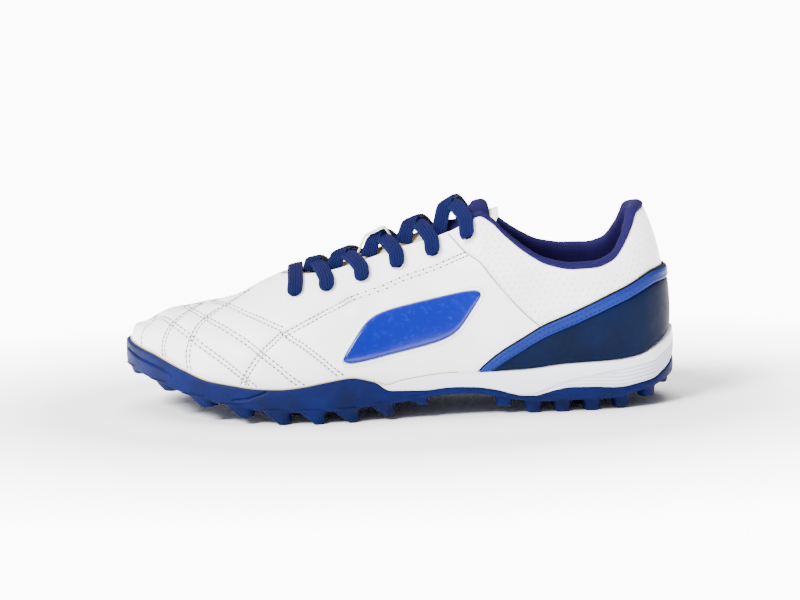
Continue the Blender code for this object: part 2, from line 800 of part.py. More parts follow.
def make_midsole(material):
    """Foam wedge from the nose to the heel, with ribs round its rear side."""
    start = angle_at(MIDSOLE_NOSE - NOSE_STEP)
    side = [angle for angle in STATIONS if angle < start - 0.01] + [start]
    angles = [-angle for angle in reversed(side[1:])] + side

    def underside(angle):
        return sole_height(SPLIT_CURVE, angle) + SPLIT_GAP

    def between(share):
        return lambda angle: underside(angle) + share * (bite_height(angle) - underside(angle))

    def rib(angle):
        return RIB_DEPTH * ease((0.27 - along_at(angle)) / 0.12)

    loops = [
        sole_loop(angles, LIP_THICKNESS, underside),
        sole_loop(angles, 0.0004, underside),
        sole_loop(angles, 0.0, between(0.14)),
    ]
    for share in (0.24, 0.42, 0.60):
        loops.append(sole_loop(angles, rib, between(share)))
        loops.append(sole_loop(angles, 0.0, between(share + 0.09)))
    loops.append(sole_loop(angles, 0.0, between(0.86)))
    loops.append(sole_loop(angles, 0.0004, bite_height))
    loops.append(sole_loop(angles, LIP_THICKNESS, bite_height))
    loops.append(sole_loop(angles, LIP_THICKNESS, floor_height))

    columns = len(angles)
    points = [point for loop in loops for point in loop]
    faces = []
    for j in range(len(loops) - 1):
        for i in range(columns - 1):
            corner = j * columns + i
            faces.append((corner, corner + 1, corner + columns + 1, corner + columns))
    for row in (0, len(loops) - 1):
        corner = row * columns
        cap(points, faces, [(corner + i, corner + columns - 1 - i) for i in range(columns // 2 + 1)])
    bottom_middle = len(loops) * columns
    top_middle = bottom_middle + columns // 2 + 1
    front = [j * columns for j in range(len(loops))]
    back = [j * columns + columns - 1 for j in reversed(range(len(loops)))]
    faces.append(tuple([bottom_middle] + front + [top_middle] + back))
    return add_object("midsole", points, faces, material)


def make_insole(material):
    """Footbed on the floor of the sole, inside the upper."""
    inset = FOOT_INSET + UPPER_WALL + FIT_GAP

    def lower(angle):
        return floor_height(angle) + FIT_GAP

    def middle_level(angle):
        return lower(angle) + 0.7 * INSOLE_THICKNESS

    def upper_level(angle):
        return lower(angle) + INSOLE_THICKNESS

    loops = [
        sole_loop(LOOP, inset, lower),
        sole_loop(LOOP, inset, middle_level),
        sole_loop(LOOP, inset + 0.0012, upper_level),
    ]
    return loop_solid("insole", loops, material)


def make_upper(material):
    """The shell: its outer surface, its inner one a wall inside it, and the edges between them."""
    outer = [[skin(angle, v) for angle in LOOP] for v in UPPER_ROWS]
    inner = [[lifted(angle, v, -UPPER_WALL) for angle in LOOP] for v in reversed(UPPER_ROWS)]
    rows = outer + inner
    top_row = len(outer) - 1

    def closed_vamp(row, column):
        if row != top_row:
            return False
        ends = (LOOP[column], LOOP[(column + 1) % len(LOOP)])
        return all(along_at(angle) > THROAT_FRONT - 0.0001 for angle in ends)

    points = [point for row in rows for point in row]
    faces = ring_faces(len(rows), len(LOOP), True, closed_vamp)
    body = add_object("upper", points, faces, material)
    combine(body, make_eyelet_pins(material), "DIFFERENCE")
    return body


def eyelet(row, side):
    """Place and outward direction of an eyelet on the upper's surface."""
    angle = side * angle_at(EYELETS[row])
    v = row_below_edge(angle, EYELET_INSETS[row])
    return skin(angle, v), skin_normal(angle, v)


def make_eyelet_pins(material):
    """Six-sided pins through all the eyelets, as one mesh, to be cut out of the upper."""
    points = []
    faces = []
    sides = 6
    reach = 0.004
    for row in range(len(EYELETS)):
        for side in (-1.0, 1.0):
            centre, out = eyelet(row, side)
            across = unit(cross(out, (1.0, 0.0, 0.0)))
            along = cross(across, out)
            first = len(points)
            for way in (-reach, reach):
                for i in range(sides):
                    turn = 2.0 * math.pi * i / sides
                    spot = plus(centre, out, way)
                    spot = plus(spot, across, EYELET_DIAMETER / 2.0 * math.cos(turn))
                    points.append(plus(spot, along, EYELET_DIAMETER / 2.0 * math.sin(turn)))
            for i in range(sides):
                beside = (i + 1) % sides
                faces.append((first + i, first + beside, first + sides + beside, first + sides + i))
            faces.append(tuple(first + i for i in range(sides)))
            faces.append(tuple(first + sides + i for i in range(sides)))
    return add_object("eyelet_pins", points, faces, material)


def padding_at(angle):
    """Thickness of the collar's padding, less towards its front ends."""
    return COLLAR_PADDING * (0.5 + 0.5 * ease((COLLAR_PAD_FRONT - along_at(angle)) / 0.07))


def make_collar(material):
    """Padded lining inside the back of the upper, with a round rim above the upper's edge."""
    end = angle_at(COLLAR_PAD_FRONT)
    side = [angle for angle in STATIONS if angle < end - 0.01] + [end]
    angles = [-angle for angle in reversed(side[1:])] + side
    sections = []
    for angle in angles:
        pad = padding_at(angle)
        deep = UPPER_WALL + FIT_GAP
        low = row_at_height(angle, edge_height(angle) - COLLAR_DEPTH)
        mid = (low + 1.0) / 2.0
        edge = skin(angle, 1.0)
        out = skin_normal(angle, 1.0)
        up = skin_up(angle, 1.0)

        def at_edge(inwards, upwards):
            return plus(plus(edge, out, -inwards), up, upwards)

        sections.append([
            lifted(angle, low, -deep),
            lifted(angle, mid, -deep),
            at_edge(deep, 0.0),
            at_edge(deep, FIT_GAP),
            at_edge(0.0002, FIT_GAP),
            at_edge(0.0002, 0.55 * COLLAR_RIM),
            at_edge(deep * 0.7, 0.95 * COLLAR_RIM),
            at_edge(deep + 0.4 * pad, COLLAR_RIM),
            at_edge(deep + 0.85 * pad, 0.6 * COLLAR_RIM),
            at_edge(deep + pad, -0.3 * COLLAR_RIM),
            lifted(angle, mid, -deep - 0.8 * pad),
            lifted(angle, low, -deep - 0.35 * pad),
        ])
    return strip_solid("collar", sections, material)


def counter_top(angle, drop):
    """Height of the counter's upper line, less a drop square to its slope."""
    start = bite_height(0.0)
    return start + COUNTER_CURVE.at(angle) * (VAMP_HEIGHT - start) - drop * 1.1


def overlay_band(name, lower, upper, rows, thickness, material):
    """A thin overlay round the heel between two height lines, cut off at the bite."""
    least = 0.0012

    def reach(angle):
        foot = bite_height(angle) + FIT_GAP
        return max(lower(angle), foot), upper(angle)

    last = angle_at(0.2)
    for _ in range(400):
        foot, top = reach(last)
        if top - foot < least:
            break
        last += 0.002
    side = [angle for angle in STATIONS if angle < last - 0.02] + [last]
    angles = [-angle for angle in reversed(side[1:])] + side
    sections = []
    for angle in angles:
        foot, top = reach(angle)
        heights = [foot + (top - foot) * i / (rows - 1) for i in range(rows)]
        levels = [row_at_height(angle, z) for z in heights]
        under = [lifted(angle, v, FIT_GAP) for v in levels]
        over = [lifted(angle, v, FIT_GAP + thickness) for v in levels]
        sections.append(under + over[::-1])
    return strip_solid(name, sections, material)


def make_counter(material):
    """Stiff overlay round the heel, from the sole up to the band."""
    return overlay_band(
        "heel_counter",
        bite_height,
        lambda angle: counter_top(angle, TRIM_WIDTH + FIT_GAP),
        7,
        OVERLAY_THICKNESS,
        material,
    )


def make_trim(material):
    """Narrow band along the counter's upper line."""
    return overlay_band(
        "counter_trim",
        lambda angle: counter_top(angle, TRIM_WIDTH),
        lambda angle: counter_top(angle, 0.0),
        3,
        OVERLAY_THICKNESS + 0.0003,
        material,
    )


def make_panel(name, side, material):
    """A raised slanted panel with round corners, centred on the side of the shoe."""
    half_length = PANEL_LENGTH / 2.0
    half_height = PANEL_HEIGHT / 2.0
    centre_angle = side * angle_at(PANEL_ALONG)
    centre_z = bite_height(centre_angle) + PANEL_CENTRE_SHARE * (edge_height(centre_angle) - bite_height(centre_angle))
    sections = []
    for i in range(PANEL_COLUMNS + 1):
        across = math.cos(math.pi * i / PANEL_COLUMNS)
        fullness = max(1.0 - abs(across) ** PANEL_ROUNDNESS, PANEL_END_SHARE)
        tall = half_height * fullness ** (1.0 / PANEL_ROUNDNESS)
        under = []
        over = []
        for j in range(PANEL_ROWS):
            up = tall * (2.0 * j / (PANEL_ROWS - 1) - 1.0)
            run = half_length * across - PANEL_SLANT * up
            angle = side * angle_at(PANEL_ALONG + run / LENGTH)
            v = row_at_height(angle, centre_z + up - PANEL_TILT * run)
            under.append(lifted(angle, v, OVERLAY_GAP))
            over.append(lifted(angle, v, OVERLAY_GAP + PANEL_THICKNESS))
        sections.append(under + over[::-1])
    return strip_solid(name, sections, material)


def edge_slope(angle):
    """Slope of the upper's surface across the shoe, at its top edge."""
    up = skin_up(angle, 1.0)
    return up[2] / max(abs(up[1]), 0.05)


def over_throat(angle, half, drop):
    """Height above a half width of the upper's surface, carried on in an arch across the throat,
    and lowered by drop, measured square to the surface."""
    foot = foot_half_width(angle)
    edge = edge_share(angle) * foot
    if half >= edge:
        v = row_at_share(angle, half / foot)
        return skin_height(angle, v) - drop / max(skin_normal(angle, v)[2], 0.25)
    slope = edge_slope(angle)
    arch = edge * slope / 2.0 * (1.0 - (half / edge) ** 2)
    return edge_height(angle) - drop / max(skin_normal(angle, 1.0)[2], 0.25) + arch


def tongue_depth(angle):
    """How far the tongue lies under the upper's outer surface: inside its wall and the collar's pad."""
    beside_pad = ease((0.45 - along_at(angle)) / 0.07)
    return UPPER_WALL + 2.0 * FIT_GAP + beside_pad * (padding_at(angle_at(COLLAR_PAD_FRONT)) + 4.0 * FIT_GAP)


def tongue_top(angle, half):
    """Height of the tongue's outer face. On the inner and outer side it is the same."""
    return over_throat(-abs(angle), half, tongue_depth(angle))


def tongue_section(angle, width_share, thickness, run=0.0, rise=0.0):
    """One closed section of the tongue: its outer face, then its inner face back again."""
    centre = middle(angle)
    x = sole_edge(angle)[0] + run
    half_width = TONGUE_CURVE.at(angle) * TONGUE_HALF_WIDTH * width_share
    shares = (-1.0, -0.82, -0.6, -0.38, -0.18, 0.0, 0.18, 0.38, 0.6, 0.82, 1.0)
    top = []
    for share in shares:
        half = abs(share) * half_width
        top.append((x, centre + share * half_width, tongue_top(angle, half) + rise))
    under = []
    for i, point in enumerate(top):
        before = top[max(i - 1, 0)]
        after = top[min(i + 1, len(top) - 1)]
        run_y = after[1] - before[1]
        run_z = after[2] - before[2]
        size = math.hypot(run_y, run_z)
        deep = thickness * (1.0 - 0.55 * abs(shares[i]) ** 3)
        under.append((point[0], point[1] + deep * run_z / size, point[2] - deep * run_y / size))
    return top + under[::-1]


def make_tongue(material):
    """Padded tongue under the throat, thin at its toe end and rounded past the collar."""
    toe_end = angle_at(TONGUE_TOE_END)
    top_end = angle_at(0.362)
    places = [angle for angle in STATIONS if top_end + 0.01 < angle < toe_end - 0.01]
    sections = [tongue_section(toe_end, 1.0, 0.35 * TONGUE_THICKNESS)]
    for angle in reversed(places):
        thin = 0.35 + 0.65 * ease((TONGUE_TOE_END - along_at(angle)) / 0.10)
        sections.append(tongue_section(angle, 1.0, thin * TONGUE_THICKNESS))
    for share, width in ((0.0, 1.0), (0.45, 0.94), (0.80, 0.80), (1.0, 0.55)):
        run = share * TONGUE_PAST_COLLAR
        thin = TONGUE_THICKNESS * (1.0 - 0.45 * share ** 3)
        sections.append(tongue_section(top_end, width, thin, run, 0.22 * run))
    return strip_solid("tongue", sections, material)


def way_along(angle, y):
    """Direction up along the throat's surface towards the collar, at a distance from the middle line."""
    reach = 0.0125
    toeward = math.copysign(abs(angle) + reach, y)
    heelward = math.copysign(abs(angle) - reach, y)
    run = sole_edge(heelward)[0] - sole_edge(toeward)[0]
    rise = over_throat(heelward, abs(y), 0.0) - over_throat(toeward, abs(y), 0.0)
    return unit((run, 0.0, rise))


def lace_strand(start_row, end_row, side):
    """Path of one strand: from beside the throat's edge, across, and over the far edge to an eyelet."""
    count = 10
    start_angle = angle_at(EYELETS[start_row])
    end_angle = angle_at(EYELETS[end_row])
    lift = LACE_LIFT + LACE_THICKNESS / 2.0
    start_half = edge_share(start_angle) * foot_half_width(start_angle) - 0.0052
    start = 0.50 if start_row == 0 else 0.22
    hole, out = eyelet(end_row, side)
    end_half = abs(hole[1] - middle(end_angle))
    path = []
    ways = []
    for i in range(count + 1):
        t = i / count
        along = EYELETS[start_row] + (EYELETS[end_row] - EYELETS[start_row]) * (start + (1.0 - start) * t)
        angle = angle_at(along)
        y = -start_half + t * (end_half + start_half)
        over = over_throat(math.copysign(angle, side * y), abs(y), -lift)
        on_tongue = tongue_top(angle, abs(y)) + lift / max(skin_normal(-angle, 1.0)[2], 0.25)
        climb = ease((y + start_half) / (start_half * 1.0))
        z = on_tongue + climb * (over - on_tongue)
        path.append((sole_edge(angle)[0], middle(angle) + side * y, z))
        ways.append(way_along(angle, side * y))
    return path, ways


def lace_bar_path(row):
    """Path of the straight bar, from one eyelet over the top to the other."""
    count = 11
    angle = angle_at(EYELETS[row])
    lift = LACE_LIFT + LACE_THICKNESS / 2.0
    hole, out = eyelet(row, 1.0)
    half = abs(hole[1] - middle(angle))
    path = []
    ways = []
    for i in range(count + 1):
        y = half * (2.0 * i / count - 1.0)
        z = over_throat(math.copysign(angle, y), abs(y), -lift)
        path.append((sole_edge(angle)[0], middle(angle) + y, z))
        ways.append(way_along(angle, y))
    return path, ways


def ribbon(name, path, ways, width, thickness, material):
    """A flat strip along a path, its width lying along a direction given for each point."""
    sections = []
    last = len(path) - 1
    for i, point in enumerate(path):
        forward = unit(minus(path[min(i + 1, last)], path[max(i - 1, 0)]))
        up = unit(cross(ways[i], forward))
        if up[2] < 0.0:
            up = (-up[0], -up[1], -up[2])
        across = cross(forward, up)
        section = []
        for wide, tall in ((-1.0, 0.0), (-0.8, -1.0), (0.8, -1.0), (1.0, 0.0), (0.8, 1.0), (-0.8, 1.0)):
            spot = plus(point, across, wide * width / 2.0)
            section.append(plus(spot, up, tall * thickness / 2.0))
        sections.append(section)
    return strip_solid(name, sections, material)


def make_laces(material):
    """The bar across the first eyelets, and one crossing from each row to the next."""
    ribbon("lace_bar", *lace_bar_path(0), LACE_WIDTH, LACE_THICKNESS, material)
    for row in range(len(EYELETS) - 1):
        name = f"lace_cross_{row + 1}"
        strand = ribbon(name, *lace_strand(row, row + 1, 1.0), LACE_WIDTH, LACE_THICKNESS, material)
        other = ribbon("other", *lace_strand(row, row + 1, -1.0), LACE_WIDTH, LACE_THICKNESS, material)
        combine(strand, other, "UNION")


def make_loop(material):
    """Small strap along the tongue that arches over the third crossing."""
    centre_along = (EYELETS[2] + EYELETS[3]) / 2.0 + 0.008
    count = 10
    path = []
    for i in range(count + 1):
        t = i / count
        along = centre_along + (0.5 - t) * LOOP_LENGTH / LENGTH
        angle = angle_at(along)
        low = tongue_top(angle, 0.0) + FIT_GAP + LOOP_THICKNESS
        high = over_throat(-angle, 0.0, 0.0) + 2.0 * FIT_GAP + LACE_THICKNESS + LOOP_THICKNESS + 0.0012
        arch = ease(min(t, 1.0 - t) / 0.26)
        path.append((sole_edge(angle)[0], middle(angle), low + arch * (high - low)))
    ways = [(0.0, 1.0, 0.0)] * len(path)
    return ribbon("tongue_loop", path, ways, LOOP_WIDTH, LOOP_THICKNESS, material)


def clear_scene():
    """Remove whatever is in the scene."""
    for item in list(bpy.data.objects):
        bpy.data.objects.remove(item)


def main():
    clear_scene()
    rubber = make_material("blue rubber", (0.010, 0.045, 0.210), 0.55)
    foam = make_material("white foam", (0.80, 0.81, 0.88), 0.60)
    footbed = make_material("footbed cloth", (0.030, 0.018, 0.260), 0.90)
    leather = make_material("white leather", (0.85, 0.85, 0.83), 0.50)
    knit = make_material("purple knit", (0.030, 0.018, 0.260), 0.90)
    navy = make_material("navy leather", (0.007, 0.032, 0.110), 0.50)
    band = make_material("light blue band", (0.042, 0.133, 0.571), 0.45)
    gloss = make_material("glossy blue", (0.005, 0.084, 0.552), 0.20)
    webbing = make_material("white webbing", (0.80, 0.80, 0.76), 0.80)
    lace = make_material("blue lace", (0.018, 0.040, 0.260), 0.85)
    make_outsole(rubber)
    make_midsole(foam)
    make_insole(footbed)
    make_upper(leather)
    make_collar(knit)
    make_counter(navy)
    make_trim(band)
    make_panel("side_panel_outer", -1.0, gloss)
    make_panel("side_panel_inner", 1.0, gloss)
    make_tongue(leather)
    make_loop(webbing)
    make_laces(lace)


main()
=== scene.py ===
"""A white and blue turf football shoe, left, empty on a pale floor.

Metres, +Z up. The toe points to -X, the outer side to -Y, the inner side to +Y.
"""

import functools
import logging
import math
from dataclasses import dataclass, field
from enum import Enum
from typing import Callable, Optional, Sequence

import bmesh
import bpy
import numpy as np
from mathutils import Matrix, Vector

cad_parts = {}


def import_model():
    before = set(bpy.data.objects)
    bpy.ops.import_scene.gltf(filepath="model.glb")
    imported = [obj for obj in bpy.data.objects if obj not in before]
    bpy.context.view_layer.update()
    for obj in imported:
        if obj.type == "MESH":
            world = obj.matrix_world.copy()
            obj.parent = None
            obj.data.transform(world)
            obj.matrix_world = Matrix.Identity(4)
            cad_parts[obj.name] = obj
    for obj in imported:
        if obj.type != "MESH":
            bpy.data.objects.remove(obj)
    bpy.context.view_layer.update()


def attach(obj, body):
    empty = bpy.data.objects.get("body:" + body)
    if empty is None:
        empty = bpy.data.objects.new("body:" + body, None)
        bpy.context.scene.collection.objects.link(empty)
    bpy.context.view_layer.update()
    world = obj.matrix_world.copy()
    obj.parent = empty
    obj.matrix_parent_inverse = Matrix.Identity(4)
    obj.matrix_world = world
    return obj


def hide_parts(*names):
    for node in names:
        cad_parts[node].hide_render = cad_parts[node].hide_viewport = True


LOG = logging.getLogger("shoe")
Array = np.ndarray
Pair = tuple[float, float]
Material = bpy.types.Material
Piece = bpy.types.Object
Tree = bpy.types.NodeTree
Socket = bpy.types.NodeSocket


class Side(Enum):
    """The two sides of the shoe, as the sign of Y."""

    OUTER = -1.0
    INNER = 1.0


def linear(colour: str) -> tuple[float, float, float, float]:
    """Turn an sRGB hex colour into the linear values that Blender works in.

    Args:
        colour: six hex digits after a hash.

    Returns:
        Red, green, blue and an alpha of 1.
    """
    parts = [int(colour[i:i + 2], 16) / 255.0 for i in (1, 3, 5)]
    turned = [p / 12.92 if p <= 0.04045 else ((p + 0.055) / 1.055) ** 2.4 for p in parts]
    return (turned[0], turned[1], turned[2], 1.0)


def ease(value: Array) -> Array:
    """Go smoothly from 0 to 1: three times the square, less twice the cube."""
    t = np.clip(value, 0.0, 1.0)
    return t * t * (3.0 - 2.0 * t)


def bell(distance: Array, reach: float) -> Array:
    """A smooth bump: 1 at distance 0, the exponential of minus the squared share of reach elsewhere."""
    return np.exp(-((distance / reach) ** 2))


def angle_at(along: Array) -> Array:
    """Turn a share of the length, from the heel, into the angle round the outline: arccos of 1 - 2 shares."""
    return np.arccos(np.clip(1.0 - 2.0 * np.asarray(along, float), -1.0, 1.0))


def along_at(angle: Array) -> Array:
    """Turn an angle round the outline into the share of the length from the heel."""
    return (1.0 - np.cos(angle)) / 2.0


def blend(a: Array, b: Array, c: Array, d: Array, t: Array) -> Array:
    """A cubic curve with ends a and d and handles b and c."""
    s = 1.0 - t
    return a * s ** 3 + 3.0 * b * s * s * t + 3.0 * c * s * t * t + d * t ** 3


def unit(vectors: Array) -> Array:
    """Scale each vector in the last axis to a length of 1."""
    size = np.linalg.norm(vectors, axis=-1, keepdims=True)
    return vectors / np.maximum(size, 1e-12)


def bow(count: int, pull: float = 0.5) -> Array:
    """Shares from 0 to 1 that lie closer together at both ends: an even step mixed with a cosine one."""
    t = np.linspace(0.0, 1.0, count)
    return (1.0 - pull) * t + pull * (1.0 - np.cos(math.pi * t)) / 2.0


def full_turn(count: int) -> Array:
    """Angles evenly spread round a full turn."""
    return np.linspace(0.0, 2.0 * math.pi, count, endpoint=False)


def gone_along(points: Array) -> Array:
    """The way gone along a line of points, up to each of them."""
    return np.concatenate([[0.0], np.cumsum(np.linalg.norm(np.diff(points, axis=0), axis=-1))])


def read_along(share: Array, values: Array) -> Array:
    """Rows of three values, read at shares of the way through them."""
    steps = np.linspace(0.0, 1.0, len(values))
    return np.stack([np.interp(share, steps, values[:, k]) for k in range(3)], axis=-1)


def halved(low: Array, high: Array, turns: int, before: Callable[[Array], Array]) -> Array:
    """A place between low and high, found by halving: before says where a middle lies before it."""
    for _ in range(turns):
        mid = (low + high) / 2.0
        early = before(mid)
        low, high = np.where(early, mid, low), np.where(early, high, mid)
    return (low + high) / 2.0


class SmoothCurve:
    """A smooth curve through a table's rows that never overshoots them, read by angle round the outline.

    Between two rows it is the cubic with the rows' values and slopes. A slope is the weighted harmonic
    mean of the rises on both sides, and 0 at a peak.
    """

    def __init__(self, rows: Sequence[Pair], level_ends: bool = True) -> None:
        """Work out the slopes.

        Args:
            rows: pairs of a share of the length and a value.
            level_ends: whether the curve runs level into both ends.
        """
        ordered = np.array(sorted(rows))
        self.places = angle_at(ordered[:, 0])
        self.values = ordered[:, 1]
        steps = np.diff(self.places)
        rises = np.diff(self.values) / steps
        slopes = np.zeros(len(self.places))
        slopes[0], slopes[-1] = rises[0], rises[-1]
        before = 2.0 * steps[1:] + steps[:-1]
        after = steps[1:] + 2.0 * steps[:-1]
        same = rises[:-1] * rises[1:] > 0.0
        safe_low = np.where(same, rises[:-1], 1.0)
        safe_high = np.where(same, rises[1:], 1.0)
        slopes[1:-1] = np.where(same, (before + after) / (before / safe_low + after / safe_high), 0.0)
        if level_ends:
            slopes[0] = slopes[-1] = 0.0
        self.slopes = slopes

    def at(self, angle: Array) -> Array:
        """The curve's value at each angle, the same on both sides."""
        place = np.clip(np.abs(angle), self.places[0], self.places[-1])
        i = np.clip(np.searchsorted(self.places, place, side="left") - 1, 0, len(self.places) - 2)
        step = self.places[i + 1] - self.places[i]
        t = (place - self.places[i]) / step
        start = self.values[i] * (1.0 + 2.0 * t) * (1.0 - t) ** 2
        end = self.values[i + 1] * t * t * (3.0 - 2.0 * t)
        lean_out = self.slopes[i] * step * t * (1.0 - t) ** 2
        lean_in = self.slopes[i + 1] * step * t * t * (t - 1.0)
        return start + end + lean_out + lean_in


def columns(table: tuple, first: int, second: int) -> list[Pair]:
    """Two columns of a table, as pairs."""
    return [(row[first], row[second]) for row in table]


# The sole's outline. Half width is a share of the heel width plus a share of the ball width.
# Swing is the share of TOE_SWING by which the middle line leans to the inner side.
OUTLINE = (
    # along, of heel width, of ball width, swing
    (0.00, 0.000, 0.000, 0.00),
    (0.03, 0.295, 0.000, 0.00),
    (0.06, 0.390, 0.000, -0.01),
    (0.10, 0.452, 0.000, -0.02),
    (0.15, 0.488, 0.000, -0.05),
    (0.20, 0.500, 0.000, -0.09),
    (0.30, 0.400, 0.072, -0.19),
    (0.40, 0.240, 0.189, -0.28),
    (0.50, 0.080, 0.334, -0.32),
    (0.60, 0.000, 0.442, -0.28),
    (0.68, 0.000, 0.479, -0.14),
    (0.75, 0.000, 0.488, 0.05),
    (0.80, 0.000, 0.474, 0.20),
    (0.85, 0.000, 0.437, 0.37),
    (0.90, 0.000, 0.374, 0.56),
    (0.95, 0.000, 0.272, 0.78),
    (0.98, 0.000, 0.175, 0.93),
    (1.00, 0.000, 0.000, 1.00),
)

# Heights of the sole above the lugs' roots on the flat, as shares of SOLE_HEIGHT less LUG_HEIGHT.
# Bite is the top edge of the sole's lip, where the upper comes out of it.
BITE = (
    (0.000, 1.650), (0.022, 1.355), (0.044, 1.190), (0.066, 1.077), (0.109, 1.005), (0.196, 0.974),
    (0.284, 0.862), (0.371, 0.846), (0.414, 0.856), (0.458, 0.805), (0.502, 0.713), (0.5235, 0.631),
    (0.546, 0.718), (0.589, 0.862), (0.633, 0.790), (0.676, 0.682), (0.720, 0.620), (0.763, 0.641),
    (0.807, 0.718), (0.851, 0.805), (0.894, 1.026), (0.960, 1.385), (1.000, 1.540),
)
# Floor is the bed inside the lip, on which the upper and the insole stand.
FLOOR = (
    (0.000, 1.030), (0.022, 0.890), (0.050, 0.780), (0.100, 0.720), (0.200, 0.697), (0.300, 0.651),
    (0.400, 0.595), (0.460, 0.564), (0.5235, 0.523), (0.600, 0.349), (0.680, 0.272), (0.760, 0.297),
    (0.850, 0.477), (0.900, 0.662), (0.950, 0.908), (1.000, 1.159),
)
# Split is the line between the outsole and the midsole.
SPLIT = (
    (0.000, 0.841), (0.022, 0.574), (0.044, 0.405), (0.066, 0.349), (0.109, 0.277), (0.153, 0.323),
    (0.196, 0.344), (0.220, 0.303), (0.240, 0.236), (0.262, 0.164), (0.284, 0.174), (0.305, 0.241),
    (0.328, 0.344), (0.371, 0.451), (0.414, 0.475), (0.458, 0.431), (0.502, 0.460), (0.5235, 0.475),
    (1.000, 0.475),
)
# Base is the underside between the lugs. It is level where it is 0.
BASE = (
    (0.000, 0.436), (0.012, 0.360), (0.038, 0.230), (0.083, 0.100), (0.120, 0.000), (0.240, 0.000),
    (0.290, 0.077), (0.325, 0.180), (0.370, 0.275), (0.410, 0.290), (0.457, 0.256), (0.500, 0.154),
    (0.560, 0.062), (0.600, 0.000), (0.710, 0.000), (0.742, 0.036), (0.815, 0.185), (0.875, 0.344),
    (0.950, 0.641), (1.000, 0.872),
)
# Lug length, as a share of LUG_HEIGHT
LUG_LENGTH = (
    (0.000, 0.70), (0.012, 0.77), (0.038, 0.90), (0.083, 0.95), (0.120, 1.00), (0.240, 1.00),
    (0.300, 0.90), (0.370, 0.35), (0.457, 0.40), (0.500, 0.75), (0.560, 0.90), (0.600, 1.00),
    (0.710, 1.00), (0.763, 0.92), (0.835, 0.75), (0.894, 0.60), (0.960, 0.45), (1.000, 0.35),
)

# The top line of the upper, in four stretches from the toe back to the heel
# Toe to throat: share of VAMP_HEIGHT on the middle line
VAMP_LINE = (
    (1.000, 0.670), (0.970, 0.702), (0.943, 0.744), (0.889, 0.783), (0.837, 0.820), (0.790, 0.869),
    (0.756, 0.926), (0.723, 0.979), (0.7115, 1.000),
)
# Throat edge: share of the way from VAMP_HEIGHT up to INSTEP_HEIGHT
THROAT_LINE = (
    (0.660, 0.054), (0.623, 0.110), (0.563, 0.279), (0.500, 0.480), (0.438, 0.640), (0.407, 0.748),
    (0.372, 0.920), (0.353, 1.000),
)
# Front of the collar: share of the way from ANKLE_HEIGHT up to INSTEP_HEIGHT
COLLAR_FRONT_LINE = ((0.330, 0.873), (0.307, 0.636), (0.268, 0.309), (0.230, 0.091), (0.185, 0.000))
# Back of the collar: share of the way from ANKLE_HEIGHT up to HEEL_HEIGHT
COLLAR_BACK_LINE = (
    (0.143, 0.010), (0.107, 0.116), (0.071, 0.428), (0.047, 0.674), (0.020, 0.930), (0.000, 1.000),
)

# Half width of the top edge: a share of the throat's plus a share of the collar's
EDGE_WIDTH = (
    # along, of throat, of collar
    (0.0000, 0.000, 0.930),
    (0.0200, 0.000, 0.940),
    (0.0470, 0.000, 0.955),
    (0.0710, 0.000, 0.975),
    (0.1070, 0.000, 1.005),
    (0.1430, 0.000, 1.013),
    (0.1850, 0.000, 1.000),
    (0.2300, 0.000, 0.950),
    (0.2680, 0.150, 0.817),
    (0.3070, 0.400, 0.587),
    (0.3300, 0.600, 0.413),
    (0.3530, 0.900, 0.210),
    (0.4000, 1.060, 0.027),
    (0.5000, 1.000, 0.000),
    (0.6000, 0.970, 0.000),
    (0.6500, 0.930, 0.000),
    (0.6800, 0.780, 0.000),
    (0.7000, 0.480, 0.000),
    (0.7080, 0.250, 0.000),
    (0.7115, 0.000, 0.000),
    (1.0000, 0.000, 0.000),
)

# How each section of the upper swells. Bulge is a share of the local half width, low and high are the
# reach of the curve's two handles, and stand is 0 for a level top edge and 1 for an upright one.
SECTIONS = (
    # along, bulge, low, high, stand
    (0.00, 0.10, 0.45, 0.50, 0.30),
    (0.10, 0.10, 0.45, 0.50, 0.27),
    (0.185, 0.09, 0.45, 0.50, 0.31),
    (0.25, 0.06, 0.42, 0.50, 0.32),
    (0.30, 0.04, 0.42, 0.52, 0.29),
    (0.353, 0.03, 0.42, 0.55, 0.26),
    (0.40, 0.03, 0.42, 0.55, 0.24),
    (0.46, 0.04, 0.42, 0.55, 0.22),
    (0.60, 0.05, 0.42, 0.55, 0.00),
    (0.70, 0.06, 0.46, 0.56, 0.00),
    (0.80, 0.06, 0.50, 0.58, 0.00),
    (0.90, 0.05, 0.55, 0.62, 0.00),
    (1.00, 0.04, 0.55, 0.66, 0.00),
)

# The upper line of the counter's band: share of the way from the bite at the heel up to VAMP_HEIGHT
COUNTER_LINE = (
    (0.000, 1.000), (0.026, 0.975), (0.100, 0.720), (0.215, 0.310), (0.244, 0.205), (0.283, 0.010),
    (0.328, -0.230), (0.352, -0.400), (0.380, -0.600), (1.000, -0.600),
)

# Half width of the tongue, as a share of TONGUE_HALF_WIDTH
TONGUE_WIDTH = (
    (0.00, 0.66), (0.36, 0.66), (0.40, 0.79), (0.44, 0.93), (0.50, 1.00), (0.60, 0.96), (0.70, 0.83),
    (0.745, 0.66), (1.00, 0.66),
)

# Lugs inside the rows along the edge
INNER_LUGS = (
    # along, offset from the middle line as a share of the local half width
    (0.100, 0.00), (0.175, -0.27), (0.175, 0.27), (0.245, 0.00),
    (0.545, 0.00), (0.590, -0.35), (0.590, 0.35), (0.640, 0.00), (0.690, -0.38), (0.690, 0.38),
    (0.740, 0.00), (0.790, -0.36), (0.790, 0.36), (0.845, 0.00), (0.900, 0.00),
)

EYELETS = (0.685, 0.627, 0.5635, 0.500, 0.4365, 0.374)
EYELET_INSETS = (0.0160, 0.0125, 0.0112, 0.0095, 0.0078, 0.0066)

